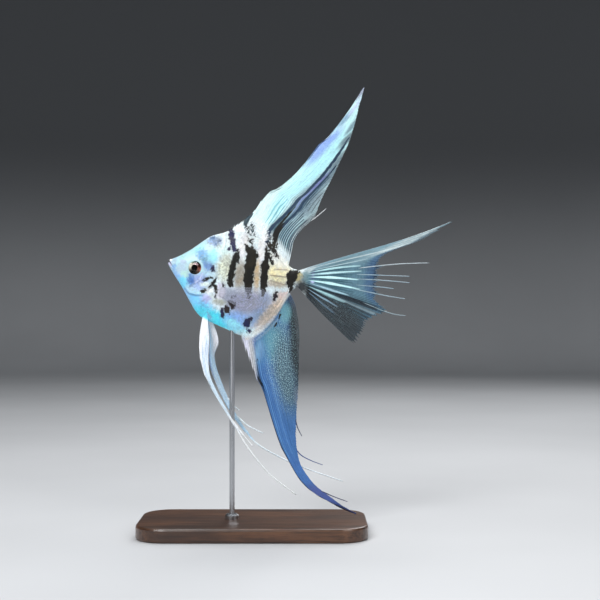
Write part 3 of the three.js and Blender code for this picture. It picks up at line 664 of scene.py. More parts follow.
def skin_material(name, scaled):
    """Pearly skin with ragged pigment marks. Scales vary one by one, and show fine growth rings."""
    s = Shader(name)
    spot = s.value("spot", "Vector")
    torn = s.add(s.times(s.noise(spot, 0.42, 2.0), 2.0), s.times(s.noise(spot, 1.3, 3.0, 0.6), 1.7))
    depth = s.add(s.value("depth"), s.add(torn, -1.85))
    if scaled:
        chance = s.value("chance")
        depth = s.add(depth, s.times(s.add(chance, -0.5), 0.9))
    fine = s.noise(spot, 3.5, 2.0)
    cloud = s.noise(spot, 0.20, 2.0)
    grain = s.noise(s.scaled(spot, (0.55, 1.0, 1.2)), 1.15, 3.0, 0.62)
    blot = s.ramp(s.noise(spot, 0.75, 3.0, 0.65), 0.44, 0.60)
    if scaled:
        blot = s.math("MAXIMUM", s.times(blot, 0.8), s.ramp(chance, 0.62, 0.70))
    colour = s.mix(s.ramp(cloud, 0.35, 0.65, 0.0, 0.16), s.value("ground", "Vector"), linear((166, 196, 226)))
    colour = s.mix(s.times(blot, s.times(s.value("mottled"), 0.62)), colour, linear((112, 114, 102)))
    shade = s.times(s.ramp(fine, 0.3, 0.7, 0.94, 1.06), s.ramp(grain, 0.32, 0.68, 0.92, 1.07))
    if scaled:
        shade = s.times(shade, s.ramp(chance, 0.0, 1.0, 0.88, 1.08))
        # Painted shade: each scale is darkened towards its root, under the scale in front, and lightened at
        # its raised free edge.
        shade = s.times(shade, s.ramp(s.value("toward_tip"), 0.3, 0.95, 0.78, 1.08))
    colour = s.shaded(colour, shade)
    tone = s.mix(s.ramp(cloud, 0.4, 0.7, 0.0, 0.5), s.value("pigment", "Vector"), linear((46, 40, 24)))
    halo = s.ramp(depth, -0.75, 0.10, 0.0, 0.42)
    colour = s.mix(halo, colour, tone)
    dark = s.ramp(depth, -0.08, 0.20)
    colour = s.mix(dark, colour, tone)
    height = s.noise(spot, 5.0, 3.0)
    if scaled:
        rings = s.math("SINE", s.times(s.value("toward_tip"), 60.0))
        height = s.add(height, s.times(rings, 0.35))
    return s.surface(
        base_color=colour,
        roughness=s.add(s.times(dark, 0.14), s.ramp(fine, 0.3, 0.7, 0.28, 0.42)),
        specular_ior_level=0.32,
        coat_weight=0.12,
        coat_roughness=0.10,
        normal=s.bump(height, 0.05, 0.5),
    )


def fin_material(name, ray_clear=0.45):
    """Membrane between pale forking rays, torn dark streaks, and painted glints of highlight; it clears where
    it thins.
    """
    s = Shader(name)
    weave = s.value("weave", "Vector")
    forks = s.node("ShaderNodeSeparateXYZ", {0: s.value("forks", "Vector")}).outputs
    place = s.node("ShaderNodeSeparateXYZ", {0: weave}).outputs[0]
    from_ray = s.math("ABSOLUTE", s.add(s.math("FRACT", place), -0.5))
    from_ray = s.math("ABSOLUTE", s.math("SUBTRACT", from_ray, forks[0]))
    from_ray = s.math("ABSOLUTE", s.math("SUBTRACT", from_ray, forks[1]))
    crest = s.ramp(s.math("DIVIDE", from_ray, forks[2]), 0.15, 1.0, 1.0, 0.0)
    streak = s.noise(s.scaled(weave, (1.0, 0.12, 1.0)), 1.4, 3.0, 0.6)
    joints = s.noise(s.scaled(weave, (0.9, 1.0, 1.0)), 1.1, 2.0, 0.6)
    shade = s.times(s.ramp(streak, 0.25, 0.75, 0.78, 1.12), s.ramp(joints, 0.3, 0.7, 0.92, 1.05))
    web = s.shaded(s.value("ground", "Vector"), shade)
    broken = s.ramp(joints, 0.35, 0.6, 0.55, 1.0)
    colour = s.mix(s.times(s.times(crest, broken), s.value("contrast")), web, s.value("ray_colour", "Vector"))
    # Painted highlight: pale glints of light laid into the web's colour, as much as speckled says.
    glint = s.ramp(s.noise(s.scaled(weave, (1.0, 0.9, 1.0)), 1.9, 2.0, 0.6), 0.50, 0.64)
    colour = s.mix(s.times(glint, s.value("speckled")), colour, s.value("speck_colour", "Vector"))
    torn = s.add(s.times(s.noise(s.scaled(weave, (1.0, 0.25, 1.0)), 0.9, 3.0, 0.6), 1.3), -0.65)
    depth = s.add(s.value("depth"), torn)
    colour = s.mix(s.ramp(depth, -0.22, 0.22), colour, s.value("pigment", "Vector"))
    clear = s.times(s.value("clear"), s.ramp(crest, 0.2, 0.9, 1.0, ray_clear))
    height = s.add(s.times(crest, 1.2), joints)
    return s.surface(
        base_color=colour,
        roughness=s.ramp(streak, 0.2, 0.8, 0.34, 0.50),
        alpha=s.math("SUBTRACT", 1.0, clear),
        specular_ior_level=0.35,
        coat_weight=0.08,
        coat_roughness=0.2,
        normal=s.bump(height, 0.08, 0.5),
    )


def eye_material():
    s = Shader("eyeball")
    ring = s.value("polar", "Vector")
    rays = s.noise(s.scaled(ring, (7.0, 7.0, 1.0)), 1.0, 3.0, 0.6)
    blots = s.noise(s.value("spot", "Vector"), 1.6, 2.0)
    shade = s.times(s.ramp(rays, 0.3, 0.7, 0.82, 1.12), s.ramp(blots, 0.3, 0.7, 0.86, 1.08))
    ground = s.value("ground", "Vector")
    return s.surface(
        base_color=s.mix(s.value("iris"), ground, s.shaded(ground, shade)),
        roughness=s.ramp(rays, 0.3, 0.7, 0.24, 0.36),
        specular_ior_level=0.06,
        normal=s.bump(s.times(rays, s.value("iris")), 0.08, 0.4),
    )


def cornea_material():
    """A clear wet dome: only its gloss shows."""
    s = Shader("cornea")
    edge = s.node("ShaderNodeFresnel", {"IOR": 1.38}).outputs[0]
    clear = s.node("ShaderNodeBsdfTransparent")
    gloss = s.node("ShaderNodeBsdfGlossy", {"Roughness": 0.03})
    both = s.node("ShaderNodeMixShader", {0: edge})
    s.tree.links.new(clear.outputs[0], both.inputs[1])
    s.tree.links.new(gloss.outputs[0], both.inputs[2])
    s.tree.links.new(both.outputs[0], s.output.inputs["Surface"])
    return s.material


def wood_material():
    """Dark varnished hardwood with long straight grain."""
    s = Shader("dark_wood")
    place = s.node("ShaderNodeTexCoord").outputs["Object"]
    bent = s.noise(s.scaled(place, (18.0, 70.0, 70.0)), 1.0, 4.0, 0.6)
    grain = s.noise(s.scaled(place, (24.0, 620.0, 620.0)), 1.0, 4.0, 0.65)
    pores = s.noise(s.scaled(place, (130.0, 2600.0, 2600.0)), 1.0, 2.0, 0.5)
    colour = s.mix(s.ramp(bent, 0.3, 0.7), linear((58, 36, 24)), linear((104, 68, 44)))
    colour = s.mix(s.ramp(grain, 0.4, 0.7, 0.0, 0.75), colour, linear((36, 22, 15)))
    colour = s.mix(s.ramp(pores, 0.55, 0.7, 0.0, 0.5), colour, linear((22, 13, 9)))
    return s.surface(
        base_color=colour,
        roughness=s.ramp(grain, 0.3, 0.7, 0.30, 0.44),
        coat_weight=0.35,
        coat_roughness=0.18,
        normal=s.bump(s.add(grain, pores), 0.08, 0.35),
    )


def steel_material():
    """Steel ground along the rod."""
    s = Shader("brushed_steel")
    place = s.node("ShaderNodeTexCoord").outputs["Object"]
    lines = s.noise(s.scaled(place, (2400.0, 2400.0, 30.0)), 1.0, 2.0, 0.5)
    colour = s.mix(s.ramp(lines, 0.3, 0.7), linear((182, 184, 188)), linear((198, 200, 204)))
    return s.surface(
        base_color=colour,
        metallic=1.0,
        roughness=s.ramp(lines, 0.3, 0.7, 0.26, 0.32),
    )


# ---------------------------------------------------------------- skin

ROUND = 320  # points round the body
EVEN_TURNS = 2 * math.pi * np.arange(ROUND) / ROUND
TURNS = EVEN_TURNS - 0.24 * np.sin(2 * EVEN_TURNS)  # closer together along the flanks, where the eyes are
# Closed curves from the throat out over the lips to the face: side (x, y, z), then top and bottom (x, z).
MOUTH_RINGS = [
    ((4.2, 0.5, -2.5), (3.6, -1.3), (3.4, -2.4)),
    ((4.0, 1.2, -2.5), (2.4, -0.2), (2.0, -1.2)),
    ((3.8, 1.7, -2.6), (1.35, 0.50), (1.0, -0.05)),
    ((3.4, 2.1, -2.7), (0.70, 1.20), (0.12, -0.45)),
    ((3.8, 2.45, -2.9), (1.10, 1.75), (0.45, -1.60)),
    ((4.5, 2.7, -3.0), (2.20, 2.10), (1.35, -2.95)),
]
MOUTH_STEPS = (4, 4, 6, 7, 7, 12)  # rows of points from each mouth ring to the next
MOUTH_ENDS = (6.0, 8.0)  # the body's rings that the lips run into
# Rows of points down the body: first x, last x and step.
BODY_ROWS = [
    (6.0, 12.0, 0.36),
    (12.0, 20.3, 0.20),
    (20.3, 33.0, 0.36),
    (33.0, STALK_END, 0.5),
    (77.5, SKIN_END + 0.1, 1.0),
]
# Inside the mouth: red flesh, darkened deeper into the throat as painted shade.
THROAT = {"colour": (90, 40, 46), "rows": 12}  # inside the mouth


def mouth_ring(side, top, bottom, turns):
    rise, out = np.sin(turns), np.cos(turns)
    up = rise > 0
    share = np.abs(rise)
    x = mix(side[0], np.where(up, top[0], bottom[0]), share)
    z = mix(side[2], np.where(up, top[1], bottom[1]), share)
    return np.stack([x, side[1] * out, z], -1)


def body_ring(x, turns):
    y, z = section(np.full(turns.shape, float(x)), turns)
    return np.stack([np.full(turns.shape, float(x)), y, z], -1)


def skin_rows():
    keys = [mouth_ring(*ring, TURNS) for ring in MOUTH_RINGS]
    keys += [body_ring(x, TURNS) for x in MOUTH_ENDS]
    rows = []
    for i, steps in enumerate(MOUTH_STEPS):
        before = keys[max(i - 1, 0)]
        for t in np.arange(steps) / steps:
            rows.append(catmull_rom(before, keys[i], keys[i + 1], keys[i + 2], t))
    for x in np.concatenate([np.arange(*span) for span in BODY_ROWS]):
        rows.append(body_ring(x, TURNS))
    return np.array(rows)


def arcs_round(rows):
    """Each point's length of arc from the flank line, up positive."""
    quarter = ROUND // 4
    closed = np.concatenate([rows, rows[:, :1]], axis=1)
    steps = np.linalg.norm(np.diff(closed, axis=1), axis=2)
    arcs = np.zeros(rows.shape[:2])
    for start, way, sign in ((0, 1, 1), (0, -1, -1), (2 * quarter, -1, 1), (2 * quarter, 1, -1)):
        index = (start + way * np.arange(quarter + 1)) % ROUND
        edges = index[:-1] if way > 0 else index[1:]
        run = np.concatenate([np.zeros((len(rows), 1)), np.cumsum(steps[:, edges], axis=1)], axis=1)
        arcs[:, index] = sign * run
    return arcs


def make_skin(material):
    rows = skin_rows()
    arcs = arcs_round(rows).ravel()
    count, mouth = len(rows), sum(MOUTH_STEPS)
    # The mouth's rows fold back on themselves, so the unwrap lays them out one after another.
    along = np.concatenate([np.linspace(-5, 5.8, mouth), rows[mouth:, 0, 0]])
    along = np.repeat(along, ROUND)
    points = rows.reshape(-1, 3)
    quads = grid_faces(count, ROUND, wrap=True)
    right = points[quads][:, :, 1].mean(1) > 0
    corners = quads.ravel()
    uv = unwrapped(along[corners], arcs[corners], np.repeat(right, 4))
    values = markings(points)
    # Painted shade: the mouth's inside turns to THROAT's dark red over its deepest rows.
    inner = np.repeat(np.clip(1 - np.arange(count) / THROAT["rows"], 0, 1), ROUND)
    inner = smooth_step(inner, 0.0, 0.6)[:, None]
    values["ground"] = mix(values["ground"], linear(THROAT["colour"]), inner)
    piece = Piece()
    piece.add(points, [quads], values, uv, per_corner=True)
    for ring, way in ((0, -1), (count - 1, 1)):
        cap = ring * ROUND + np.arange(ROUND)[::way]
        piece.faces.append((ROUND, cap))
        piece.flat.append(np.array([False]))
        piece.uvs.append(unwrapped(along[cap], arcs[cap] * 0.5, np.zeros(ROUND)))
    return piece.make("fish_skin", material)


# ---------------------------------------------------------------- scales

# Where the body's scales begin behind the head: each height and its x.
SCALES_FROM = [(-30, 21), (-24, 17.5), (-20, 17.5), (-18, 22.5), (-14, 27.4), (-7, 31.0), (-2, 32.2),
               (2, 31.3), (5.5, 27.5), (10, 24.0), (17.5, 21.5), (25, 21.5)]
# Each kind's spacing rearward and across, the lift of its free edge, how far its root is sunk, and its rows.
BODY_SCALES = {"pitch": 1.56, "row": 0.84, "lift": 0.20, "sunk": 0.12, "rows": (-52, 46)}
HEAD_SCALES = {"pitch": 1.10, "row": 0.60, "lift": 0.13, "sunk": 0.07, "rows": (-34, 20)}
SHEATH_SCALES = {"pitch": 1.20, "row": 0.66, "lift": 0.16, "sunk": 0.10, "rows": (-8, 10)}
CLEAR_OF_EYE = 1.3
CLEAR_OF_GILL_EDGE = 1.2
# How far scales run up the bases of the dorsal and anal fins: x and height.
SHEATHS = {
    "fin_dorsal": [(31, -1.5), (36, 0.2), (41, 3.0), (45, 5.0), (52, 6.0), (60, 6.0), (66, 4.0), (69, 0.0)],
    "fin_anal": [(46, -1.0), (50, 3.0), (54, 5.0), (62, 5.0), (67, 3.0), (70, -0.5)],
}
row_shrink = smooth_through([(5, 0.8), (24, 0.86), (40, 1.0), (56, 0.95), (70, 0.72), (SKIN_END, 0.62)])


def lattice(kind, low, high):
    """Staggered (x, arc) roots of scales."""
    found = []
    for k, row in enumerate(np.arange(*kind["rows"]) * kind["row"]):
        x = low + kind["pitch"] * 0.5 * (k % 2)
        while x < high:
            found.append((x, row))
            x += kind["pitch"] * float(row_shrink(x))
    return np.array(found)


def add_scales(piece, kind, patch, roots, right, grown, start_arc=0.0, way=1, paint=None):
    """Thin curved plates, each rooted under the one before and free at its rear edge."""
    rows, columns = 5, 5
    s = np.linspace(0, 1, rows)[:, None]  # from a plate's root to its free edge
    w = np.linspace(-1, 1, columns)[None, :]  # from side to side
    outline_a = s * (1 - 0.44 * w**2)
    outline_b = w * (0.80 + 0.20 * np.sin(math.pi * np.minimum(s, 0.62) / 1.24))
    raised = -kind["sunk"] + kind["lift"] * s**0.8 - 0.5 * kind["sunk"] * w**2 * (0.5 + 0.5 * s)
    count = len(roots)
    size = row_shrink(roots[:, 0]) * RNG.uniform(0.95, 1.05, count) * grown
    tilt = RNG.uniform(-0.08, 0.08, count)
    chance = RNG.uniform(0, 1, count)
    a = outline_a[None] * (kind["pitch"] * 1.55 * size)[:, None, None]
    b = outline_b[None] * (kind["row"] * 1.22 * size)[:, None, None]
    up = raised[None] * np.sqrt(size)[:, None, None] + 0.025 * (chance[:, None, None] - 0.5) * s
    x = roots[:, 0, None, None] + a - b * tilt[:, None, None]
    arc = roots[:, 1, None, None] + b + a * tilt[:, None, None]
    middle, outward = patch.at(x, arc)
    points = (middle + outward * up[..., None]) * (1, 1 if right else -1, 1)
    flat = points.reshape(-1, 3)
    per = rows * columns
    ids = np.arange(per).reshape(rows, columns)
    rim = np.concatenate([ids[0, :], ids[1:, -1], ids[-1, -2::-1], ids[-2:0:-1, 0]])
    start = (np.arange(count) * per)[:, None]
    top = (grid_faces(rows, columns)[None] + start[:, :, None]).reshape(-1, 4)
    under = rim[None, ::-1] + start
    if right != (way < 0):
        top, under = top[:, ::-1], under[:, ::-1]
    home = unwrapped(roots[:, 0], start_arc + way * roots[:, 1], np.full(count, float(right)))
    patch_uv = np.stack([outline_a, outline_b * 0.5], -1) * 0.003
    uv = (home[:, None, None] + patch_uv[None]).reshape(-1, 2)
    values = markings(flat)
    if paint:
        values |= {key: np.repeat(value, per, axis=0) for key, value in paint.items()}
    values["chance"] = np.repeat(chance, per)
    values["toward_tip"] = np.tile((s + 0 * w).ravel(), count)
    piece.add(flat, [top, under], values, uv)


def on_flank(roots, margin):
    """Keeps the roots that lie clear of the back and belly edges."""
    x, arc = roots.T
    return roots[(arc > lowest_arc(x) + margin) & (arc < highest_arc(x) - margin)]


def fin_base(edge, way, sway, right):
    """The base of a median fin as a patch: x, and height off the body's edge."""
    xs, heights = np.linspace(28, 76, 200), np.linspace(-6, 9, 80)
    x, h = np.meshgrid(xs, heights, indexing="ij")
    z = edge(x) + way * h
    half = fin_half(h, fleshy(x), MEMBRANE_HALF + 0.06)
    side = 1 if right else -1
    return Patch(xs, heights, np.stack([x, side * sway(x, z) + half, z], -1))


def make_scales(right, material):
    """A flank's scales: the body's, smaller ones on the cheek and gill cover, and the fins' sheaths."""
    piece = Piece()
    body = lattice(BODY_SCALES, 17, SKIN_END - 2.2)
    body[:, 1] *= row_shrink(body[:, 0])
    body = on_flank(body, 0.4)
    places = FLANK.at(body[:, 0], body[:, 1])[0]
    past_head = places[:, 0] - np.interp(places[:, 2], *np.array(SCALES_FROM).T)
    grown = mix(0.55, 1.0, smooth_step(past_head, 0, 3.5))
    keep = past_head > 0
    add_scales(piece, BODY_SCALES, FLANK, body[keep], right, grown[keep])

    head = on_flank(lattice(HEAD_SCALES, 12, 32), 0.5)
    places = FLANK.at(head[:, 0], head[:, 1])[0]
    x, z = places[:, 0], places[:, 2]
    to_gill_edge = distance_to_line(x, z, GILL_EDGE)
    cover = inside_loop(x, z, GILL_LOOP) & (to_gill_edge > CLEAR_OF_GILL_EDGE)
    cheek = inside_loop(x, z, np.array(CHEEK_PATCH))
    from_eye = np.hypot(x - EYE["x"], z - EYE["z"]) - EYE["radius"]
    keep = (cover | cheek) & (from_eye > CLEAR_OF_EYE)
    clear = np.minimum(from_eye - CLEAR_OF_EYE, to_gill_edge - CLEAR_OF_GILL_EDGE)
    grown = mix(0.6, 1.0, smooth_step(clear, 0, 1.6))
    add_scales(piece, HEAD_SCALES, FLANK, head[keep], right, grown[keep])

    for name, edge, way, sway, edge_arc in (
        ("fin_dorsal", back_line, 1, dorsal_sway, highest_arc),
        ("fin_anal", belly_line, -1, anal_sway, lowest_arc),
    ):
        limit = smooth_through(SHEATHS[name])
        low, high = SHEATHS[name][0][0], SHEATHS[name][-1][0]
        roots = lattice(SHEATH_SCALES, low, high)
        left = limit(roots[:, 0]) - roots[:, 1]
        roots, left = roots[left > 0], left[left > 0]
        patch = fin_base(edge, way, sway, right)
        start = edge_arc(roots[:, 0])
        tree, paint = ROOT_PAINT[name]
        near = [tree.find((x, 0, edge(x) + way * h))[1] for x, h in roots]
        paint = {key: value[near] for key, value in paint.items()}
        grown = mix(0.5, 1.0, smooth_step(left, 0, 4))
        add_scales(piece, SHEATH_SCALES, patch, roots, right, grown, start, way, paint)
    return piece.make("scales_right" if right else "scales_left", material)


# ---------------------------------------------------------------- fins


# Half the thickness of a fin's fleshy root, by height off the body's edge.
root_wedge = smooth_through([
    (-6, 1.9), (-3, 2.15), (-1.5, 1.72), (0, 1.30), (1.5, 0.96), (3, 0.68), (5, 0.42), (8, 0.18), (12, 0),
])
THREAD = {"sides": 6, "rings": 26, "radii": (0.38, 0.18)}


def fin_half(height, flesh, thin):
    """Half a fin's thickness, thick where it leaves the body and thin beyond."""
    return thin + flesh * root_wedge(np.clip(height, -6, 12))


def fin_frame(middle):
    """Unit normals of a grid of points."""
    normal = np.cross(np.gradient(middle, axis=0), np.gradient(middle, axis=1))
    return normal / np.maximum(np.linalg.norm(normal, axis=2, keepdims=True), 1e-9)


def add_sheet(piece, middle, half, values):
    """A closed sheet round a grid of points, half thick to each side, on its own unwrap."""
    rows, columns = middle.shape[:2]
    offset = fin_frame(middle) * half[..., None]
    points = np.concatenate([(middle + offset).reshape(-1, 3), (middle - offset).reshape(-1, 3)])
    quads = grid_faces(rows, columns)
    back = rows * columns
    ids = np.arange(back).reshape(rows, columns)
    rim = np.concatenate([ids[0, :-1], ids[:-1, -1], ids[-1, :0:-1], ids[:0:-1, 0]])
    ahead = np.roll(rim, -1)
    edge = np.stack([ahead, rim, rim + back, ahead + back], -1)
    u = np.linspace(0.01, 0.48, columns)[None, :] + np.zeros((rows, 1))
    v = np.linspace(0.01, 0.94, rows)[:, None] + np.zeros((1, columns))
    front = np.stack([u, v], -1).reshape(-1, 2)
    uv = np.concatenate([front, front + (0.5, 0)])
    both = {key: np.concatenate([value, value]) for key, value in values.items()}
    piece.add(points, [quads, quads[:, ::-1] + back, edge], both, uv)


def add_thread(piece, line, colour, strip, radii):
    """A tapering thread through the points, closed at both ends, with its own strip of the unwrap."""
    sides, rings = THREAD["sides"], THREAD["rings"]
    centres = spline(line, rings)
    along = np.gradient(centres, axis=0)
    along /= np.linalg.norm(along, axis=1, keepdims=True)
    side = np.cross(along, (0, 1, 0))
    side /= np.linalg.norm(side, axis=1, keepdims=True)
    other = np.cross(along, side)
    radius = np.linspace(*radii, rings) * mix(0.35, 1.0, smooth_step(np.arange(rings), 0, 6))
    radius = radius[:, None, None]
    turn = (2 * math.pi * np.arange(sides) / sides)[None, :, None]
    ring = side[:, None] * np.cos(turn) + other[:, None] * np.sin(turn)
    points = (centres[:, None] + ring * radius).reshape(-1, 3)
    caps = [np.arange(sides)[None, ::-1], (rings - 1) * sides + np.arange(sides)[None]]
    u = np.repeat(np.linspace(0.02, 0.98, rings), sides)
    v = np.tile(np.linspace(0, 0.6, sides), rings) * 0.01 + strip
    faces = [grid_faces(rings, sides, wrap=True), *caps]
    run = np.repeat(np.linspace(0, 60, rings), sides)
    values = plain_fin_values(points, np.full(len(points), 60 + 90 * strip), run, colour, colour)
    piece.add(points, faces, values, np.stack([u, v], -1))


# How far a ray's forks part, in rays.
FORKS = {"first": 0.25, "second": 0.125}
# Half widths in rays: a spine's, and a soft ray's before and after it forks. share is what is left after it
# forks again.
RAY_WIDTHS = {"spine": 0.22, "whole": 0.24, "forked": 0.13, "share": 0.62}


def ray_forks(reach, soft, first, second):
    """How far a ray's two forks have parted, in rays, and a branch's half width, by share of length."""
    once, twice = smooth_step(reach, *first), smooth_step(reach, *second)
    width = mix(RAY_WIDTHS["whole"], RAY_WIDTHS["forked"], once) * mix(1.0, RAY_WIDTHS["share"], twice)
    width = np.where(soft, width, RAY_WIDTHS["spine"])
    return np.stack([FORKS["first"] * once * soft, FORKS["second"] * twice * soft, width], -1)


def ray_crest(rays, forks):
    """1 on the crest of a ray's branches and 0 between them."""
    away = np.abs(rays % 1 - 0.5)
    away = np.abs(np.abs(away - forks[..., 0]) - forks[..., 1])
    return np.exp(-((away / (0.62 * forks[..., 2])) ** 2))


def plain_fin_values(points, rays, run, ground, ray_colour):
    """The values that a fin's material reads."""
    count = len(points)
    return {
        "weave": np.stack([rays, run, np.zeros(count)], -1),
        "forks": np.tile([0.0, 0.0, 0.2], (count, 1)),
        "ground": np.tile(linear(ground), (count, 1)),
        "ray_colour": np.tile(linear(ray_colour), (count, 1)),
        "speck_colour": np.tile(linear((164, 198, 206)), (count, 1)),
        "pigment": np.tile(linear(PIGMENTS["black"]), (count, 1)),
        "contrast": np.full(count, 0.5),
        "speckled": np.zeros(count),
        "depth": np.full(count, -2.0),
        "clear": np.zeros(count),
    }


def paint_fin(values, fin, rays, share):
    """A fin's own paint. Its places are a ray's number and the percentage of the way out."""
    percent = 100 * share
    for key, table in (("ground", "patches"), ("ray_colour", "ray_patches")):
        for centre, radii, colour, strength in fin.get(table, ()):
            over = (strength * soft_spot(rays, percent, centre, radii))[:, None]
            values[key] = mix(values[key], linear(colour), over)
    for line, colour, strength in fin.get("lines", ()):
        over = (strength * smooth_step(depth_in_stroke(rays, percent, line), -0.16, 0.08))[:, None]
        for key in ("ground", "ray_colour"):
            values[key] = mix(values[key], linear(colour), over)
    for name, centre, radii, amount in fin.get("amounts", ()):
        values[name] = mix(values[name], amount, soft_spot(rays, percent, centre, radii))
    for tone, stroke in fin.get("ink", ()):
        depth = depth_in_stroke(rays, percent, stroke)
        over = depth > values["depth"]
        values["depth"] = np.where(over, np.clip(depth, -2, 2), values["depth"])
        values["pigment"] = np.where(over[:, None], linear(PIGMENTS[tone]), values["pigment"])


def blend_into_body(values, points, height, fade):
    """Carries the body's markings a little way up a fin."""
    near = 1 - smooth_step(height, *fade)
    body = markings(points)
    values["ground"] = mix(values["ground"], body["ground"], near[:, None])
    values["ray_colour"] = mix(values["ray_colour"], body["ground"], 0.8 * near[:, None])
    depth = body["depth"] - 3 * (1 - near)
    over = depth > values["depth"]
    values["depth"] = np.where(over, depth, values["depth"])
    values["pigment"] = np.where(over[:, None], body["pigment"], values["pigment"])
    for name in ("clear", "speckled"):
        values[name] = values[name] * (1 - near)


ROOT_PAINT = {}


def fleshy(x):
    """How fleshy the roots of the dorsal and anal fins are."""
    return mix(0.82, 1.0, smooth_step(half_width(x), 2.5, 5.5))
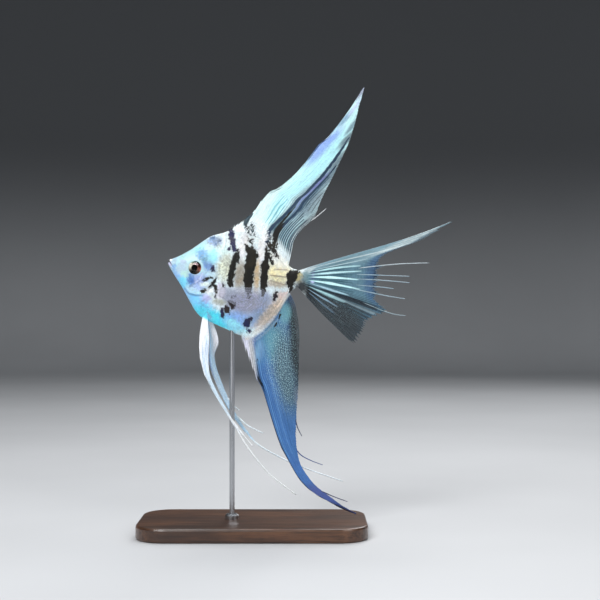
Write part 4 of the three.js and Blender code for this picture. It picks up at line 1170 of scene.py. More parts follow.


# The dorsal, anal and pelvic fins have stations from root to tip, each with the front edge's (x, z) and then
# the rear edge's. front_rays and rear_rays give the ray that each edge has reached by a share of that way.
#
# In every fin, spines are the rays that don't fork, and forks are the shares of a ray's length over which
# the others fork and fork again. mesh is the points across a ray, the rows along it and how deep the edge
# is cut between rays. blend is the heights over which the body's markings fade.
#
# Paint is placed by ray and by percent of the way out. patches and ray_patches tint the web and the rays,
# lines and ink are strokes, and amounts set how clear and contrasted the web is and how much it is painted
# with glints of highlight.
DORSAL = {
    "mesh": (8, 120, 0.01),
    "blend": (2.5, 9),
    "stations": [
        (30, 18.6, 69, 4.4), (31.4, 21.8, 69.4, 10.2), (34.8, 25.4, 69.7, 15.2), (38.5, 28, 70, 19.5),
        (42.5, 32, 71.5, 24), (44.8, 34.4, 74.2, 28.4), (46.8, 38.2, 77.6, 32.4), (49.6, 43, 80.4, 36.6),
        (53, 47.2, 81.8, 42.4), (57.3, 49.6, 83.4, 47.8), (62, 54.2, 86, 54.8), (66.5, 59.5, 88.5, 62),
        (72, 67.6, 91.8, 71.6), (77.2, 77.2, 94.8, 81.4), (81.4, 80.9, 96.2, 88.8), (85.8, 87.8, 97.2, 95.8),
        (90.2, 95.4, 97.9, 102.2), (94.9, 104.4, 98.8, 108.2), (99, 113.4, 99.6, 113.6),
    ],
    "front_rays": [
        (0, 0), (0.07, 4), (0.12, 6.5), (0.2, 9), (0.3, 10.5), (0.47, 12.5), (0.7, 13.4), (1, 14.2),
    ],
    "rear_rays": [(0, 37), (0.33, 36.4), (0.47, 34.5), (0.6, 30), (0.8, 21.5), (1, 15.6)],
    "spines": 12.5,
    "forks": ((0.35, 0.75), (1.5, 2)),
    "threads": [((190, 196, 200), [(78.4, 33.4), (81.6, 36.4), (86.2, 41.4)])],
    "ground": (196, 242, 247),
    "ray_colour": (236, 253, 254),
    "patches": [
        ((13, 36), (4.6, 26), (220, 250, 251), 0.95),
        ((20, 56), (5, 26), (166, 232, 243), 0.9),
        ((17, 12), (7, 11), (246, 253, 253), 1),
        ((15, 60), (3, 12), (178, 240, 242), 0.7),
        ((6.4, 9), (2.6, 5), (104, 160, 180), 0.85),
        ((15.4, 73), (3.2, 9.5), (98, 142, 226), 0.95),
        ((15.2, 86.5), (2, 4), (72, 126, 168), 0.85),
        ((16.6, 90.5), (1.4, 4), (190, 206, 240), 0.8),
        ((15, 98), (3, 4), (110, 104, 146), 0.85),
        ((31, 17), (4.2, 20), (66, 108, 126), 0.97),
        ((31.5, 44), (4.4, 11), (102, 122, 134), 0.92),
        ((36.2, 14), (2, 22), (40, 58, 78), 0.97),
        ((36, 34), (2.4, 9), (78, 84, 94), 0.85),
        ((25.4, 18), (3.8, 19), (46, 72, 88), 0.97),
        ((27.4, 46), (4.6, 20), (62, 92, 114), 0.9),
        ((26.7, 48), (0.6, 13), (124, 138, 194), 0.75),
        ((26.7, 57), (0.9, 6), (104, 108, 172), 0.85),
        ((29.6, 60), (2.6, 5), (80, 104, 124), 0.85),
        ((33.4, 51), (2, 4.5), (84, 100, 112), 0.7),
        ((26.4, 66), (2, 4), (52, 78, 98), 0.8),
        ((23, 73.5), (1.8, 4), (44, 66, 84), 0.85),
        ((20.8, 79.5), (1.1, 4), (64, 96, 118), 0.8),
    ],
    "ray_patches": [
        ((25.6, 18), (3.8, 18), (84, 122, 136), 0.9),
        ((28, 44), (3, 20), (120, 156, 170), 0.85),
        ((26.7, 50), (0.7, 13), (156, 168, 214), 0.65),
        ((31.5, 30), (4.4, 26), (186, 210, 218), 0.85),
    ],
    "lines": [
        ([(18.9, 22, 0.14), (18.3, 36, 0.26), (19.2, 44, 0.1)], (110, 186, 198), 0.85),
        ([(20.8, 22, 0.14), (20.3, 37, 0.28), (21.3, 43, 0.1)], (96, 172, 188), 0.9),
        ([(22, 24, 0.16), (21.9, 38, 0.2)], (104, 176, 192), 0.8),
        ([(16.6, 44, 0.1), (16.8, 64, 0.1)], (150, 214, 222), 0.6),
        ([(19.6, 50, 0.1), (19.4, 68, 0.1)], (140, 206, 218), 0.5),
        ([(27.6, 34, 0.1), (27.7, 46, 0.26), (27.4, 60, 0.1)], (34, 52, 76), 0.9),
        ([(29.4, 38, 0.1), (29.2, 50, 0.22), (28.6, 60, 0.08)], (40, 60, 80), 0.8),
        ([(29.7, 8, 0.14), (29.8, 30, 0.2)], (36, 62, 80), 0.85),
        ([(30.8, 8, 0.14), (30.9, 38, 0.24)], (34, 60, 76), 0.85),
        ([(31.9, 12, 0.14), (31.8, 36, 0.22)], (38, 66, 82), 0.85),
        ([(33, 10, 0.18), (33.2, 34, 0.26)], (30, 54, 72), 0.85),
        ([(34.2, 6, 0.24), (34.6, 34, 0.3)], (30, 50, 70), 0.85),
        ([(30.2, 42, 0.18), (30.6, 56, 0.18)], (60, 74, 84), 0.7),
        ([(32, 40, 0.18), (32.2, 52, 0.18)], (64, 78, 88), 0.7),
        ([(33.6, 40, 0.18), (33.6, 48, 0.18)], (64, 78, 88), 0.7),
    ],
    "amounts": [
        ("contrast", (31, 30), (8, 40), 0.9),
        ("clear", (37, 40), (2.5, 20), 0.45),
        ("clear", (31, 66), (5, 8), 0.4),
        ("speckled", (25.5, 20), (3.4, 16), 0.25),
    ],
    "ink": [
        ("teal", [(16, 7, 0.5), (13, 10, 0.8), (11, 15, 0.9), (10.2, 20, 1.1), (10.3, 26, 0.6)]),
        ("black", [(24.4, 3, 1), (24.4, 8, 0.9), (23.4, 14, 0.7)]),
        ("deep", [(23.4, 10, 0.8), (22.9, 17, 1), (23.6, 24, 0.9), (24.5, 33, 0.8), (25.3, 42, 0.7),
                  (25.6, 52, 0.75), (25.1, 62, 0.8), (24.2, 69, 0.6), (23.2, 74, 0.2)]),
        ("black", [(26.4, 3, 1.2), (26.6, 8, 1.6), (26.8, 14, 1.8), (27, 20, 1.2), (27.3, 27, 0.9)]),
        ("deep", [(27.3, 24, 0.9), (27.8, 32, 0.8), (28.4, 40, 0.55), (28.2, 48, 0.5), (27.9, 56, 0.5),
                  (27.3, 64, 0.3)]),
        ("black", [(25.8, 16, 0.6), (25.8, 24, 0.6), (25.7, 34, 0.5), (26.1, 40, 0.2)]),
    ],
}
ANAL = {
    "mesh": (8, 130, 0.012),
    "blend": (-0.5, 2.5),
    "stations": [
        (45.2, -34, 70.8, -7.8), (47.8, -41, 74.9, -14.4), (51.8, -48.2, 77.4, -21.6),
        (55.4, -55.2, 79.6, -31), (58.7, -61.2, 80.8, -42), (62.2, -65.2, 82, -52.6),
        (66.9, -75.6, 83, -63.6), (70.4, -83.6, 83.6, -74), (73.7, -90.6, 84.4, -84.2),
        (77.2, -97.4, 85.6, -93.6), (81, -102.5, 87.5, -100.5), (84.9, -108.2, 89.8, -106),
        (89.7, -113.9, 94.2, -111.4), (94.6, -118, 98.6, -115.7), (100.2, -121.2, 103.6, -119),
        (107, -124.2, 109.2, -122.2), (115.3, -127.6, 116.4, -126.2), (124.4, -129.8, 124.6, -129.2),
    ],
    "front_rays": [(0, 0), (0.29, 6), (0.6, 7), (1, 7.4)],
    "rear_rays": [(0, 31), (0.2, 30.4), (0.35, 27), (0.41, 23.5), (0.6, 14.5), (1, 8.2)],
    "spines": 6,
    "forks": ((0.3, 0.7), (1.5, 2)),
    "threads": [
        ((52, 66, 96), [(83.2, -80), (85.2, -85), (88.2, -89.5)]),
        ((60, 84, 140), [(85.6, -97), (89, -100.2), (95, -102.6), (102, -104.4)]),
        ((52, 58, 100), [(102, -118.8), (110, -121.4), (118.6, -123.4)]),
    ],
    "ground": (54, 102, 162),
    "ray_colour": (90, 136, 190),
    "patches": [
        ((2.6, 12), (4.2, 16), (214, 216, 236), 0.97),
        ((5.4, 14), (1.5, 10), (168, 170, 172), 0.85),
        ((6.9, 23), (0.9, 8), (24, 46, 60), 0.9),
        ((15, 14), (8, 7), (86, 148, 164), 0.92),
        ((9.6, 13), (2.4, 4), (140, 182, 210), 0.8),
        ((11, 34), (4, 24), (56, 104, 164), 0.9),
        ((10, 52), (5, 12), (62, 114, 178), 0.85),
        ((21.5, 27), (7, 16), (38, 60, 76), 0.97),
        ((29, 20), (4.6, 22), (17, 22, 27), 1),
        ((25, 7), (3.4, 4.4), (104, 160, 168), 0.85),
        ((10, 68), (5, 10), (66, 112, 182), 0.9),
        ((9, 84), (4, 9), (78, 92, 160), 0.9),
        ((8, 97), (3, 6), (40, 46, 100), 0.95),
    ],
    "lines": [
        ([(4, 5, 0.9), (12, 5.6, 1), (20, 4.2, 1), (27, 1.8, 0.8)], (214, 204, 190), 0.8),
        ([(9, 5.2, 0.25), (14, 5, 0.35), (18, 4.4, 0.25)], (226, 218, 172), 0.8),
        ([(8, 8.4, 0.4), (14, 8.6, 0.5), (21, 7.2, 0.4)], (166, 190, 206), 0.35),
        (
            [(6.1, 30, 0.2), (6.7, 42, 0.34), (7.1, 56, 0.34), (7.2, 68, 0.2), (7.4, 80, 0.05)],
            (18, 28, 48), 0.92,
        ),
        ([(8.6, 16, 0.1), (8.4, 40, 0.16), (8.6, 60, 0.1)], (120, 172, 224), 0.5),
        ([(10.4, 20, 0.1), (10.4, 44, 0.16), (10.2, 64, 0.1)], (46, 92, 160), 0.6),
        ([(12.4, 18, 0.1), (12.3, 40, 0.18), (11.8, 58, 0.1)], (112, 160, 214), 0.5),
        ([(14.6, 16, 0.1), (14.6, 36, 0.18), (13.6, 54, 0.1)], (36, 74, 128), 0.6),
        ([(16.8, 16, 0.1), (16.6, 36, 0.18), (15.6, 48, 0.1)], (36, 70, 104), 0.6),
    ],
    "ray_patches": [
        ((2.6, 12), (4.2, 20), (244, 246, 250), 0.97),
        ((20, 22), (9, 20), (104, 144, 158), 0.85),
        ((29, 20), (4.6, 22), (34, 46, 54), 0.95),
        ((9, 88), (5, 14), (96, 116, 190), 0.8),
    ],
    "amounts": [
        ("speckled", (20, 24), (9, 18), 0.95),
        ("speckled", (28.4, 20), (4, 20), 0.4),
        ("clear", (30.6, 18), (2.6, 22), 0.6),
        ("clear", (26, 38), (4, 6), 0.5),
        ("contrast", (10, 40), (40, 140), 0.75),
    ],
    "ink": [
        ("black", [(6.8, 15.5, 0.3), (7.6, 15.7, 0.35)]),
        ("black", [(6.4, 22, 0.3), (6.7, 28, 0.6)]),
        ("black", [(18.6, 8.8, 0.35), (20, 8.4, 0.45)]),
        ("black", [(21.6, 7.2, 0.3), (22.6, 6.2, 0.5)]),
    ],
}
# The pelvic fins' front edges (x) and breadths along x, by the depth below their roots. spread is how far
# each stands off the middle at its root, and sway how far it stands off it at sway_depth and below.
PELVIC_ROOT = {"z": -27, "spread": 1.6, "stations": 14, "sway_depth": 55}
PELVIC = {
    "left": {
        "length": 66,
        "sway": 9,
        "front": [(0, 23.5), (10, 23), (20, 24), (32, 28), (42, 34.5), (54, 44), (66, 53.5)],
        "breadth": [(0, 3), (16, 6), (24, 5), (36, 3), (66, 1)],
        "threads": [
            ((246, 250, 252), [(51.5, -90), (60, -100.5), (73, -112.5), (89, -122)]),
            ((246, 250, 252), [(45.5, -82), (53, -90), (61, -97.5)]),
        ],
        "ground": (228, 238, 248),
        "ray_colour": (253, 253, 253),
        "patches": [
            ((3, 18), (3, 24), (246, 248, 252), 0.9),
            ((4.4, 30), (1.2, 14), (176, 206, 240), 0.8),
            ((2.4, 44), (0.8, 20), (150, 192, 236), 0.7),
            ((3, 66), (4, 22), (184, 218, 240), 0.8),
        ],
    },
    "right": {
        "length": 71,
        "sway": 8,
        "front": [(0, 24.5), (14, 28.5), (26, 29.5), (42, 37), (56, 46.5), (71, 61)],
        "breadth": [(0, 3.5), (9, 4.5), (15, 6), (20, 3.5), (32, 4), (56, 3), (71, 2)],
        "threads": [
            ((234, 246, 252), [(58.5, -95), (68, -100.5), (88, -107.5), (115, -113.5)]),
            ((234, 246, 252), [(43, -73.5), (46.5, -77.5), (50.5, -80)]),
            ((234, 246, 252), [(49, -83), (56, -88), (66, -91.5)]),
        ],
        "ground": (170, 214, 244),
        "ray_colour": (244, 250, 253),
        "patches": [
            ((4.5, 14), (3, 18), (244, 244, 250), 0.95),
            ((0.8, 40), (1, 12), (54, 110, 178), 0.9),
            ((3, 60), (3, 20), (190, 224, 250), 0.6),
        ],
    },
}


def pelvic_stations(fin):
    """A pelvic fin's stations, evenly spread from its root down."""
    depth = np.linspace(0, fin["length"], PELVIC_ROOT["stations"])
    front = smooth_through(fin["front"])(depth)
    breadth = smooth_through(fin["breadth"])(depth)
    z = PELVIC_ROOT["z"] - depth
    return np.stack([front, z, front + breadth, z], -1)


for pelvic in PELVIC.values():
    pelvic |= {
        "mesh": (12, 110, 0.03),
        "blend": (-1.4, 0.2),
        "root": 0.35,
        "stations": pelvic_stations(pelvic),
        "front_rays": [(0, 0), (1, 0.6)],
        "rear_rays": [(0, 6), (0.5, 5), (1, 1.6)],
        "spines": 1,
        "forks": ((0.4, 0.8), (1.5, 2)),
        "amounts": [("contrast", (3, 50), (9, 90), 0.8)],
        "thread_radii": (0.58, 0.27),
    }

# The fans have keys: place in the fan, a ray's start and end, and the directions that it leaves and ends in.
# base is the x that heights are measured from, and root how fleshy the root is. drawn_out has the rays that
# run on past the edge, and how far as a share of their length.
CAUDAL = {
    "mesh": (16, 120, 0.06),
    "blend": (0.5, 4),
    "root": 0.75,
    "base": 77.5,
    "keys": [
        (0, (74.2, 3.9), (161.5, 45), 26, 32), (0.03, (74.4, 3.6), (150, 35.6), 25, 28),
        (0.06, (74.5, 3.3), (143.2, 30.6), 24, 26), (0.11, (74.7, 2.8), (131.8, 24.6), 22, 24),
        (0.16, (74.8, 2.3), (123, 19.2), 21, 20), (0.22, (75, 1.8), (119.8, 14.2), 18, 13),
        (0.31, (75.1, 1.1), (119.6, 9), 12, 7), (0.4, (75.2, 0.5), (119.4, 4), 7, 1),
        (0.5, (75.3, -0.3), (119.8, -1), 1, -3), (0.6, (75.2, -1.1), (120.8, -6.6), -6, -8),
        (0.68, (75.1, -1.7), (125.6, -13), -13, -12), (0.75, (75, -2.4), (117.6, -20), -21, -22),
        (0.83, (74.9, -3), (115.6, -25.6), -29, -28), (0.91, (74.8, -3.7), (111.4, -33.2), -37, -40),
        (1, (74.6, -4.4), (102.6, -27.4), -43, -36),
    ],
    "ray_count": 16,
    "spines": 0,
    "forks": ((0.12, 0.45), (0.45, 0.75)),
    "threads": [
        ((178, 192, 198), [(108, 9.5), (116, 11.5), (132, 15), (148, 17.5)]),
        ((150, 172, 184), [(108, 6), (115, 6.7), (124, 7.4), (138, 8.6)]),
        ((150, 172, 184), [(108, 3.5), (124, 4.5), (138.5, 5)]),
        ((140, 164, 178), [(108, 0), (123, 0.5), (130, 0.5)]),
        ((150, 172, 184), [(108, -2.5), (126, -4), (137, -4.5)]),
        ((140, 160, 168), [(112, -9), (129, -13.5), (138.5, -14)]),
    ],
    "drawn_out": [(4.2, 0.05), (5.6, 0.04), (6.5, 0.04), (7.6, 0.03), (8.6, 0.04), (10.6, 0.05)],
    "ground": (72, 108, 126),
    "ray_colour": (114, 152, 166),
    "patches": [
        ((0.8, 50), (2.6, 80), (128, 158, 170), 0.97),
        ((0.6, 80), (1.6, 16), (196, 210, 212), 0.9),
        ((0.8, 102), (2, 12), (112, 116, 112), 0.95),
        ((2.2, 10), (2.4, 6), (200, 214, 216), 0.8),
        ((7, 9), (5, 4), (92, 128, 138), 0.8),
        ((3.4, 18), (1.2, 2.6), (74, 74, 112), 0.85),
        ((6.6, 18), (1.2, 2.6), (70, 72, 112), 0.85),
        ((5, 18), (0.8, 2.2), (150, 156, 200), 0.8),
        ((9, 17.5), (0.9, 2.4), (192, 196, 236), 0.9),
        ((6, 42), (5.4, 22), (50, 86, 100), 0.9),
        ((6, 92), (5.4, 8), (46, 78, 116), 0.95),
        ((6, 101), (6, 6), (16, 30, 58), 0.95),
        ((13.9, 50), (3.6, 80), (18, 30, 38), 1),
        # Partly the tail bar's black, partly painted shade at the fin's lower root.
        ((14.6, 8), (4.6, 16), (16, 18, 20), 1),
    ],
    "ray_patches": [
        ((6, 42), (5.4, 22), (80, 122, 136), 0.9),
        ((13.9, 50), (3.6, 80), (38, 54, 64), 0.97),
        ((6, 96), (6, 8), (80, 116, 148), 0.8),
    ],
    "lines": [
        ([(1, 16, 0.02), (1, 50, 0.14), (1, 90, 0.06)], (222, 236, 236), 0.6),
        ([(1.9, 14, 0.02), (1.9, 40, 0.14), (1.9, 74, 0.02)], (112, 146, 158), 0.7),
        ([(2.6, 14, 0.02), (2.6, 40, 0.14), (2.6, 80, 0.02)], (190, 216, 222), 0.7),
        (
            [(3.4, 12, 0.02), (3.4, 28, 0.24), (3.4, 42, 0.28), (3.5, 56, 0.16), (3.7, 78, 0.02)],
            (184, 226, 232), 0.95,
        ),
        (
            [(4.8, 12, 0.02), (4.8, 26, 0.26), (4.8, 40, 0.34), (4.8, 56, 0.18), (4.8, 80, 0.02)],
            (196, 238, 244), 0.95,
        ),
        (
            [(6.4, 12, 0.02), (6.4, 25, 0.32), (6.4, 38, 0.44), (6.5, 54, 0.22), (6.6, 78, 0.02)],
            (206, 250, 253), 1,
        ),
        (
            [(8.4, 12, 0.02), (8.4, 25, 0.3), (8.4, 40, 0.42), (8.5, 56, 0.2), (8.6, 80, 0.02)],
            (200, 246, 250), 1,
        ),
        ([(10, 14, 0.02), (10.1, 30, 0.22), (10.2, 42, 0.26), (10.2, 62, 0.02)], (166, 204, 220), 0.9),
        ([(11.4, 14, 0.02), (11.4, 30, 0.16), (11.4, 40, 0.18), (11.4, 60, 0.02)], (170, 214, 222), 0.95),
        ([(12.5, 16, 0.02), (12.5, 34, 0.16), (12.4, 42, 0.16), (12.4, 58, 0.02)], (150, 184, 206), 0.9),
        ([(13.6, 18, 0.02), (13.6, 36, 0.1), (13.6, 58, 0.02)], (104, 134, 158), 0.9),
        ([(5.6, 20, 0.02), (5.6, 40, 0.14), (5.6, 70, 0.02)], (44, 84, 98), 0.8),
        ([(7.4, 20, 0.02), (7.4, 40, 0.16), (7.5, 70, 0.02)], (44, 84, 98), 0.8),
        ([(9.3, 20, 0.02), (9.3, 42, 0.16), (9.4, 72, 0.02)], (48, 88, 102), 0.8),
        ([(10.8, 26, 0.1), (10.7, 60, 0.26), (10.8, 94, 0.16)], (16, 30, 42), 0.95),
        ([(11.3, 46, 0.01), (11.3, 96, 0.03)], (150, 172, 182), 0.9),
    ],
    "amounts": [
        ("contrast", (8, 40), (40, 140), 0.8),
        ("clear", (14.2, 70), (3.6, 60), 0.5),
        ("clear", (6, 104), (6, 7), 0.35),
        ("clear", (1.4, 98), (1.2, 12), 0.4),
        ("speckled", (13.6, 60), (2.6, 34), 0.15),
    ],
}
PECTORAL = {
    "mesh": (8, 60, 0.03),
    "root": 0.3,
    "base": 31.5,
    "keys": [
        (0, (31.9, -10.8), (54.6, -8.4), 8, 2), (0.15, (32, -11.6), (57.8, -9.5), 4, 0),
        (0.3, (32, -12.4), (59.5, -11.8), -1, -3), (0.45, (32.1, -13.2), (59.6, -14.5), -5, -6),
        (0.6, (32.2, -14.1), (57.9, -17.4), -9, -10), (0.75, (32.2, -14.9), (54.6, -20), -14, -16),
        (0.88, (32.2, -15.6), (50.8, -21.8), -18, -22), (1, (32.2, -16.2), (46.8, -22.4), -22, -28),
    ],
    "ray_count": 12,
    "spines": 0,
    "forks": ((0.3, 0.8), (1.5, 2)),
    "threads": [],
    "ground": (168, 176, 200),
    "ray_colour": (198, 204, 218),
    "patches": [((6, 0), (12, 14), (214, 212, 228), 0.8)],
    "amounts": [
        ("clear", (6, 60), (400, 400), 0.8),
        ("clear", (8, 100), (14, 60), 0.97),
        ("clear", (-0.4, 80), (2.6, 66), 0.97),
        ("clear", (2, 0), (30, 12), 0.35),
    ],
}


def dorsal_sway(x, z):
    rise = np.maximum(0, (z - 20) / 93)
    return 4.5 * rise**2 + 1.2 * rise * np.sin(0.22 * x - 0.1 * z)


def anal_sway(x, z):
    drop = np.maximum(0, (-35 - z) / 95)
    return -3.5 * drop**2 + 1.2 * drop * np.sin(0.2 * x + 0.07 * z)


def caudal_sway(x, z):
    reach = np.maximum(0, (x - 76) / 45)
    return -2.4 * reach + 0.6 * reach * np.sin(0.3 * z)


def pelvic_sway(sign, full):
    def sway(x, z):
        share = np.clip((PELVIC_ROOT["z"] - z) / PELVIC_ROOT["sway_depth"], 0, 1)
        return sign * mix(PELVIC_ROOT["spread"], full, np.sin(math.pi / 2 * share))

    return sway


def long_fin_grid(fin, sway):
    """A long fin's points along its rays, each from the root to where it meets the fin's edge."""
    per_ray, rows, notch = fin["mesh"]
    share = np.linspace(0, 1, 600)
    stations = spline(fin["stations"], len(share))
    front = smooth_through(fin["front_rays"])(share)
    rear = smooth_through(fin["rear_rays"])(share)
    rays = np.arange(front[0] + 0.4, rear[0] - 0.3, 1 / per_ray)
    ends = np.ones(len(rays))
    ends = np.where(rays < front[-1], np.interp(rays, front, share), ends)
    ends = np.where(rays > rear[-1], np.interp(-rays, -rear, share), ends)
    crest = ray_crest(rays, ray_forks(np.ones(len(rays)), rays > fin["spines"], *fin["forks"]))
    wander = 0.6 + 0.4 * np.sin(rays * 2.3) * np.sin(rays * 0.9 + 1)
    ends = np.maximum(ends - notch * np.where(rays < fin["spines"], 2.8, wander) * (1 - crest), 0.012)
    along = np.linspace(0, 1, rows)[:, None]
    s = along * ends[None, :]
    at = [np.interp(s, share, stations[:, k]) for k in range(4)]
    low, high = np.interp(s, share, front), np.interp(s, share, rear)
    u = np.clip((rays[None, :] - low) / (high - low), 0, 1)
    x, z = mix(at[0], at[2], u), mix(at[1], at[3], u)
    middle = np.stack([x, sway(x, z), z], -1)
    return middle, np.broadcast_to(rays, s.shape), np.broadcast_to(along, s.shape), s


def fan_grid(fin, place):
    """A fan's points along its rays, which are Bezier curves between the keys'."""
    per_ray, rows, notch = fin["mesh"]
    handle = 0.36  # a curve's handle, as a share of its chord
    at = [key[0] for key in fin["keys"]]
    controls = []
    for _, base, tip, leaves, ends in fin["keys"]:
        base, tip = np.array(base), np.array(tip)
        reach = handle * np.linalg.norm(tip - base)
        out, home = math.radians(leaves), math.radians(ends)
        second = base + reach * np.array([math.cos(out), math.sin(out)])
        third = tip - reach * np.array([math.cos(home), math.sin(home)])
        controls.append(np.concatenate([base, second, third, tip]))
    rays = np.arange(0, fin["ray_count"] + 1e-6, 1 / per_ray)
    spread = [smooth_through(list(zip(at, c)))(rays / fin["ray_count"]) for c in np.array(controls).T]
    spread = np.stack(spread, -1)
    crest = ray_crest(rays, ray_forks(np.ones(len(rays)), rays > -1, *fin["forks"]))
    wander = 0.5 + 0.5 * np.sin(rays * 5.3) * np.sin(rays * 2.1 + 1)
    full = 1 - notch * (1 - crest) * (0.4 + 0.6 * wander)
    for ray, reach in fin.get("drawn_out", ()):
        full += reach * np.exp(-(((rays - ray) / 0.4) ** 2))
    along = np.linspace(0, 1, rows)[:, None]
    v = (along * full[None, :])[..., None]
    p = [spread[None, :, 2 * k : 2 * k + 2] for k in range(4)]
    flat = p[0] * (1 - v) ** 3 + 3 * p[1] * v * (1 - v) ** 2 + 3 * p[2] * v**2 * (1 - v) + p[3] * v**3
    x, z = flat[..., 0], flat[..., 1]
    middle = np.stack([x, place(x, z, v[..., 0]), z], -1)
    return middle, np.broadcast_to(rays, x.shape), np.broadcast_to(along, x.shape), v[..., 0]


def remember_paint(name, points, values):
    """Keeps a fin's paint to be looked up by place, for the scales on its root."""
    tree = mathutils.kdtree.KDTree(len(points))
    for k, point in enumerate(points):
        tree.insert((point[0], 0, point[2]), k)
    tree.balance()
    ROOT_PAINT[name] = tree, {key: values[key] for key in ("ground", "pigment", "depth")}


def make_fin(name, fin, grid, height_at, material, sway=None):
    """A fin as one closed sheet with raised rays, and its threads."""
    middle, rays, reach, share = grid
    soft = rays > fin["spines"]
    forks = ray_forks(reach, soft, *fin["forks"])
    crest = ray_crest(rays, forks)
    height = height_at(middle[..., 0], middle[..., 2])
    ray_half = RAY_HALF * mix(1.0, 0.6, reach) * np.where(soft, 1.0, 1.35)
    steps = np.linalg.norm(np.diff(middle, axis=0), axis=2)
    run = np.concatenate([np.zeros((1, middle.shape[1])), np.cumsum(steps, axis=0)])
    first, last = rays.min(), rays.max()
    from_side = np.minimum(rays - first, last - rays)
    inside = smooth_step(run[-1] - run, 0.3, 5.0) * smooth_step(from_side, 0.0, 3.0)
    flesh = fin.get("root", fleshy(middle[..., 0]))
    half = fin_half(height, flesh * inside, mix(MEMBRANE_HALF, ray_half, crest))
    points = middle.reshape(-1, 3)
    values = plain_fin_values(points, rays.ravel(), run.ravel(), fin["ground"], fin["ray_colour"])
    values["forks"] = forks.reshape(-1, 3)
    paint_fin(values, fin, rays.ravel(), share.ravel())
    if "blend" in fin:
        blend_into_body(values, points, height.ravel(), fin["blend"])
    piece = Piece()
    add_sheet(piece, middle, half, values)
    for k, (colour, line) in enumerate(fin["threads"]):
        path = [(x, sway(x, z), z) for x, z in line]
        strip = 0.95 + 0.006 * k  # past the sheet's part of the unwrap
        add_thread(piece, path, colour, strip, fin.get("thread_radii", THREAD["radii"]))
    if name in SHEATHS:
        remember_paint(name, points, values)
    return piece.make(name, material)


def flank_at(x, z):
    middle = flank_line(x)
    reach = np.where(z > middle, back_line(x) - middle, middle - belly_line(x))
    rise = np.clip((z - middle) / reach, -1, 1)
    return half_width(x) * np.sqrt(1 - rise**2) ** SECTION_POWER


def above_back(x, z):
    return z - back_line(x)


def below_belly(x, z):
    return belly_line(x) - z


def make_fins(fin_look, clear_look):
    """Every fin, each with the CAD node that it replaces."""
    made = []
    for name, fin, sway, height_at in (
        ("dorsal", DORSAL, dorsal_sway, above_back),
        ("anal", ANAL, anal_sway, below_belly),
    ):
        long_fin = make_fin(f"fin_{name}", fin, long_fin_grid(fin, sway), height_at, fin_look, sway)
        made.append((long_fin, f"{name}_fin"))
    grid = fan_grid(CAUDAL, lambda x, z, v: caudal_sway(x, z))
    caudal = make_fin("fin_caudal", CAUDAL, grid, lambda x, z: x - CAUDAL["base"], fin_look, caudal_sway)
    made.append((caudal, "caudal_fin"))
    root_x, root_z = PECTORAL["keys"][0][1]
    root = float(flank_at(root_x, root_z)) - 0.5
    lean = math.tan(math.radians(24))
    for side, sign in SIDES:
        fin = PELVIC[side]
        sway = pelvic_sway(sign, fin["sway"])
        grid = long_fin_grid(fin, sway)
        pelvic_fin = make_fin(f"fin_pelvic_{side}", fin, grid, below_belly, fin_look, sway)
        made.append((pelvic_fin, f"pelvic_fin_{side}"))

        def place(x, z, v, sign=sign):
            return sign * (root + (x - root_x) * lean - 1.2 * v * v + 0.4 * v * np.sin(0.8 * z))

        name, grid = f"fin_pectoral_{side}", fan_grid(PECTORAL, place)
        pectoral = make_fin(name, PECTORAL, grid, lambda x, z: x - PECTORAL["base"], clear_look)
        made.append((pectoral, f"pectoral_fin_{side}"))
    return made


# ---------------------------------------------------------------- eyes

EYE_SIDES = 96
EYEBALL = {"edge": 3.86, "rings": 64}
CORNEA = {"edge": 3.6, "rings": 30}
# Height off the flank by distance from the eye's middle.
eye_profile = smooth_through([
    (0, 0.16), (1.0, 0.14), (1.35, 0.16), (1.95, 0.40), (2.2, 0.42), (2.7, 0.34), (3.3, 0.14), (3.6, 0.0),
    (3.75, -0.3), (3.84, -0.8), (EYEBALL["edge"], -1.5),
])
cornea_profile = smooth_through([(0, 0.84), (1.7, 0.68), (2.6, 0.44), (3.3, 0.10), (CORNEA["edge"], -0.30)])


def eye_seat(sign):
    """The eye's centre on the flank and its axes: rearward, upward and outward."""
    x, z, step = EYE["x"], EYE["z"], 2.0
    rear = np.array([2 * step, float(flank_at(x + step, z) - flank_at(x - step, z)), 0])
    up = np.array([0, float(flank_at(x, z + step) - flank_at(x, z - step)), 2 * step])
    out = np.cross(up, rear)
    out /= np.linalg.norm(out)
    rear /= np.linalg.norm(rear)
    up = np.cross(rear, out)
    flip = np.array([1, sign, 1])
    return np.array([x, float(flank_at(x, z)), z]) * flip, rear * flip, up * flip, out * flip


def eye_unwrap(rearward, upward):
    return 0.5 + 0.12 * np.stack([rearward, upward], -1)


def dome(sign, profile, size, shift):
    """A turned profile on the eye's seat, its middle shifted towards the pupil's place."""
    centre, rear, up, out = eye_seat(sign)
    r = np.linspace(0.02, size["edge"], size["rings"])[:, None]
    turn = (2 * math.pi * np.arange(EYE_SIDES) / EYE_SIDES)[None, :]
    moved = shift * (1 - smooth_step(r, PUPIL["radius"], size["edge"]))
    a = r * np.cos(turn) + moved * PUPIL["x"]
    b = r * np.sin(turn) + moved * PUPIL["z"]
    h = profile(r) + 0 * turn
    points = centre + a[..., None] * rear + b[..., None] * up + h[..., None] * out
    return points.reshape(-1, 3), (r + 0 * turn).ravel(), (turn + 0 * r).ravel(), a.ravel(), b.ravel()


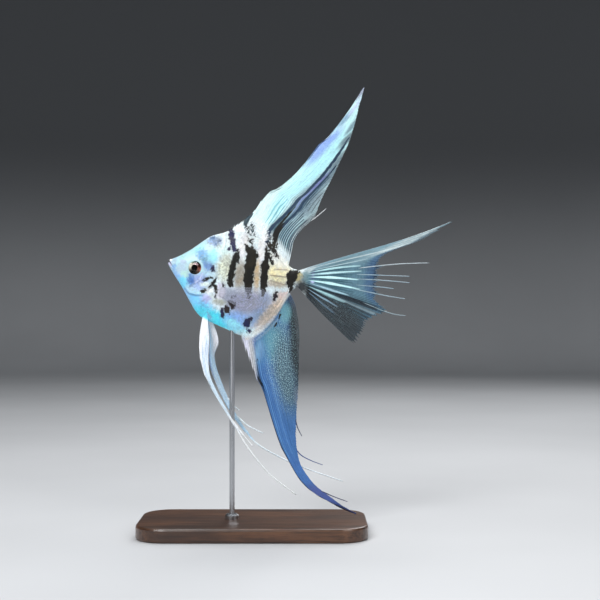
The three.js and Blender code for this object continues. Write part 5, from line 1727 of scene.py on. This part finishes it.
# The iris by places (rearward, upward) from the eye's middle: centre, radii, colour, strength.
IRIS = [
    ((-2.8, 1.1), (2.8, 2.7), (230, 228, 212), 1),
    ((3.3, 0), (2.4, 3.4), (182, 116, 100), 1),
    ((2.7, 1.5), (1.5, 1.5), (88, 24, 28), 0.9),
    ((1.2, 3.5), (3.2, 3), (6, 24, 23), 1),
    ((0.3, 2), (1.6, 0.7), (220, 184, 192), 0.85),
    ((-1.9, 3.3), (1.3, 0.9), (104, 136, 116), 0.8),
    ((-0.8, -3.3), (3.6, 2.9), (4, 5, 6), 1),
    ((2.7, -2.7), (1.4, 1.2), (84, 70, 62), 0.8),
    ((-3.6, -0.8), (0.6, 1.6), (130, 140, 120), 0.7),
]


def eye_paint(r, a, b):
    """Cream in front, dark above and below, and red-brown behind, round a black pupil with a pale rim."""
    colour = np.tile(linear((168, 152, 136)), (len(r), 1))
    for centre, radii, tone, strength in IRIS:
        colour = mix(colour, linear(tone), (strength * soft_spot(a, b, centre, radii))[:, None])
    from_pupil = r - PUPIL["radius"]
    lining = 0.55 * ridge(from_pupil - 0.12, 0.09) * smooth_step(b, -1.2, 0.4)
    colour = mix(colour, linear((220, 178, 150)), lining[:, None])
    pupil = 1 - smooth_step(from_pupil, -0.06, 0.04)
    colour = mix(colour, linear((6, 5, 6)), pupil[:, None])
    return colour, 1 - pupil


def make_eye(sign, side, look, clear_look):
    quads = grid_faces(EYEBALL["rings"], EYE_SIDES, wrap=True)[:, ::sign]
    circle = np.arange(EYE_SIDES)[None]
    middle = circle[:, ::sign]
    back = (EYEBALL["rings"] - 1) * EYE_SIDES + circle[:, ::-sign]
    points, r, turn, a, b = dome(sign, eye_profile, EYEBALL, 1.0)
    colour, iris = eye_paint(r, a, b)
    values = {
        "ground": colour,
        "iris": iris,
        "polar": np.stack([np.cos(turn), np.sin(turn), r], -1),
        "spot": np.stack([a, b, np.zeros(len(a))], -1),
    }
    piece = Piece()
    piece.add(points, [quads, middle, back], values, eye_unwrap(a, b))
    eye = piece.make(f"eyeball_{side}", look)
    points, _, _, a, b = dome(sign, cornea_profile, CORNEA, 0.0)
    quads = grid_faces(CORNEA["rings"], EYE_SIDES, wrap=True)[:, ::sign]
    piece = Piece()
    piece.add(points, [quads, middle], {}, eye_unwrap(a, b))
    return eye, piece.make(f"cornea_{side}", clear_look)


# ---------------------------------------------------------------- the object


def shows(obj, slot, *replaced):
    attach(obj, "root")
    if replaced:
        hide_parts(*replaced)


def dress(node, material):
    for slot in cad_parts[node].material_slots:
        slot.link = "OBJECT"
        slot.material = material


skin = make_skin(skin_material("pearly_skin", scaled=False))
flesh_nodes = ["head", "upper_jaw", "lower_jaw", "gill_cover_left", "gill_cover_right", "trunk", "tail_stalk"]
shows(skin, "skin", *flesh_nodes)
for fin_object, cad_name in make_fins(fin_material("fin_web"), fin_material("clear_fin_web", 0.80)):
    shows(fin_object, "clear_fin" if "pectoral" in cad_name else "fin", cad_name)
scale_look = skin_material("pearly_scales", scaled=True)
for is_right in (False, True):
    shows(make_scales(is_right, scale_look), "skin")

eye_look, cornea_look = eye_material(), cornea_material()
for side_name, side_sign in SIDES:
    eyeball, cornea = make_eye(side_sign, side_name, eye_look, cornea_look)
    shows(eyeball, "eye", f"eye_{side_name}")
    shows(cornea, "eye")

dress("stand_base", wood_material())
steel_look = steel_material()
dress("stand_rod", steel_look)
dress("stand_collar", steel_look)

# ---------------------------------------------------------------- stage, light and camera, in metres

VIEW_WIDTH = 0.3436  # what the frame spans at the fish
VIEW_X, VIEW_Z = 0.0269, 0.1332
VIEW_AWAY = 0.75
SENSOR = 36.0


def make_stage():
    """A pale floor that sweeps up all round into a grey wall."""
    s = Shader("studio_floor")
    place = s.node("ShaderNodeTexCoord").outputs["Object"]
    height = s.node("ShaderNodeSeparateXYZ", {0: place}).outputs[2]
    tone = s.ramp(s.noise(place, 3.0, 3.0), 0.3, 0.7)
    pale = s.mix(tone, linear((196, 198, 201)), linear((204, 206, 209)))
    look = s.surface(base_color=s.mix(s.ramp(height, 0.0, 0.5), pale, linear((84, 87, 91))), roughness=0.6)
    flat, bend, top = 1.7, 0.5, 2.4
    profile = [(0.001, 0.0)]
    profile += [(flat * k / 6, 0.0) for k in range(1, 7)]
    for t in np.linspace(0.1, math.pi / 2, 16):
        profile.append((flat + bend * math.sin(t), bend - bend * math.cos(t)))
    profile.append((flat + bend, top))
    sides = 96
    turn = 2 * math.pi * np.arange(sides) / sides
    points = [(r * math.cos(t), r * math.sin(t), z) for r, z in profile for t in turn]
    faces = grid_faces(len(profile), sides, wrap=True)
    mesh = bpy.data.meshes.new("studio_sweep")
    mesh.from_pydata(points, [], faces.tolist() + [list(range(sides))])
    mesh.polygons.foreach_set("use_smooth", [True] * len(mesh.polygons))
    mesh.materials.append(look)
    sweep = bpy.data.objects.new("studio_sweep", mesh)
    bpy.context.scene.collection.objects.link(sweep)


def aim(obj, place, target):
    away = np.array(target) - np.array(place)
    obj.location = place
    tilt = math.atan2(away[2], math.hypot(away[0], away[1]))
    turn = math.atan2(away[1], away[0])
    obj.rotation_euler = (tilt + math.pi / 2, 0, turn - math.pi / 2)


def add_light(name, place, target, size, power, spread=180):
    data = bpy.data.lights.new(name, "AREA")
    data.shape = "RECTANGLE"
    data.size, data.size_y = size
    data.energy = power
    data.spread = math.radians(spread)
    light = bpy.data.objects.new(name, data)
    light.visible_camera = False
    bpy.context.scene.collection.objects.link(light)
    aim(light, place, target)


make_stage()
fish_middle = (0.02, 0.0, 0.15)
add_light("key", (-0.38, -0.75, 0.80), fish_middle, (0.5, 0.5), 10.4)
add_light("fill", (0.90, -0.90, 0.80), fish_middle, (0.7, 0.7), 5.5)
add_light("top", (0.05, 0.30, 0.90), fish_middle, (0.6, 0.4), 4.5)
add_light("back", (0.40, 1.00, 0.80), fish_middle, (0.6, 0.6), 4.0)
left_eye = tuple(to_row((EYE["x"], -6.5, EYE["z"])))
add_light("catch_light", (-0.155, -0.30, 0.085), left_eye, (0.34, 0.12), 0.0056, 12)
world = bpy.data.worlds.new("studio")
world.use_nodes = True
world.node_tree.nodes["Background"].inputs[0].default_value = (0.9, 0.95, 1.0, 1)
world.node_tree.nodes["Background"].inputs[1].default_value = 0.25
bpy.context.scene.world = world
bpy.context.scene.view_settings.view_transform = "Standard"

camera_data = bpy.data.cameras.new("camera")
camera_data.sensor_width = SENSOR
camera_data.lens = SENSOR * VIEW_AWAY / VIEW_WIDTH
camera = bpy.data.objects.new("camera", camera_data)
bpy.context.scene.collection.objects.link(camera)
aim(camera, (VIEW_X, -VIEW_AWAY, VIEW_Z), (VIEW_X, 0, VIEW_Z))
bpy.context.scene.camera = camera
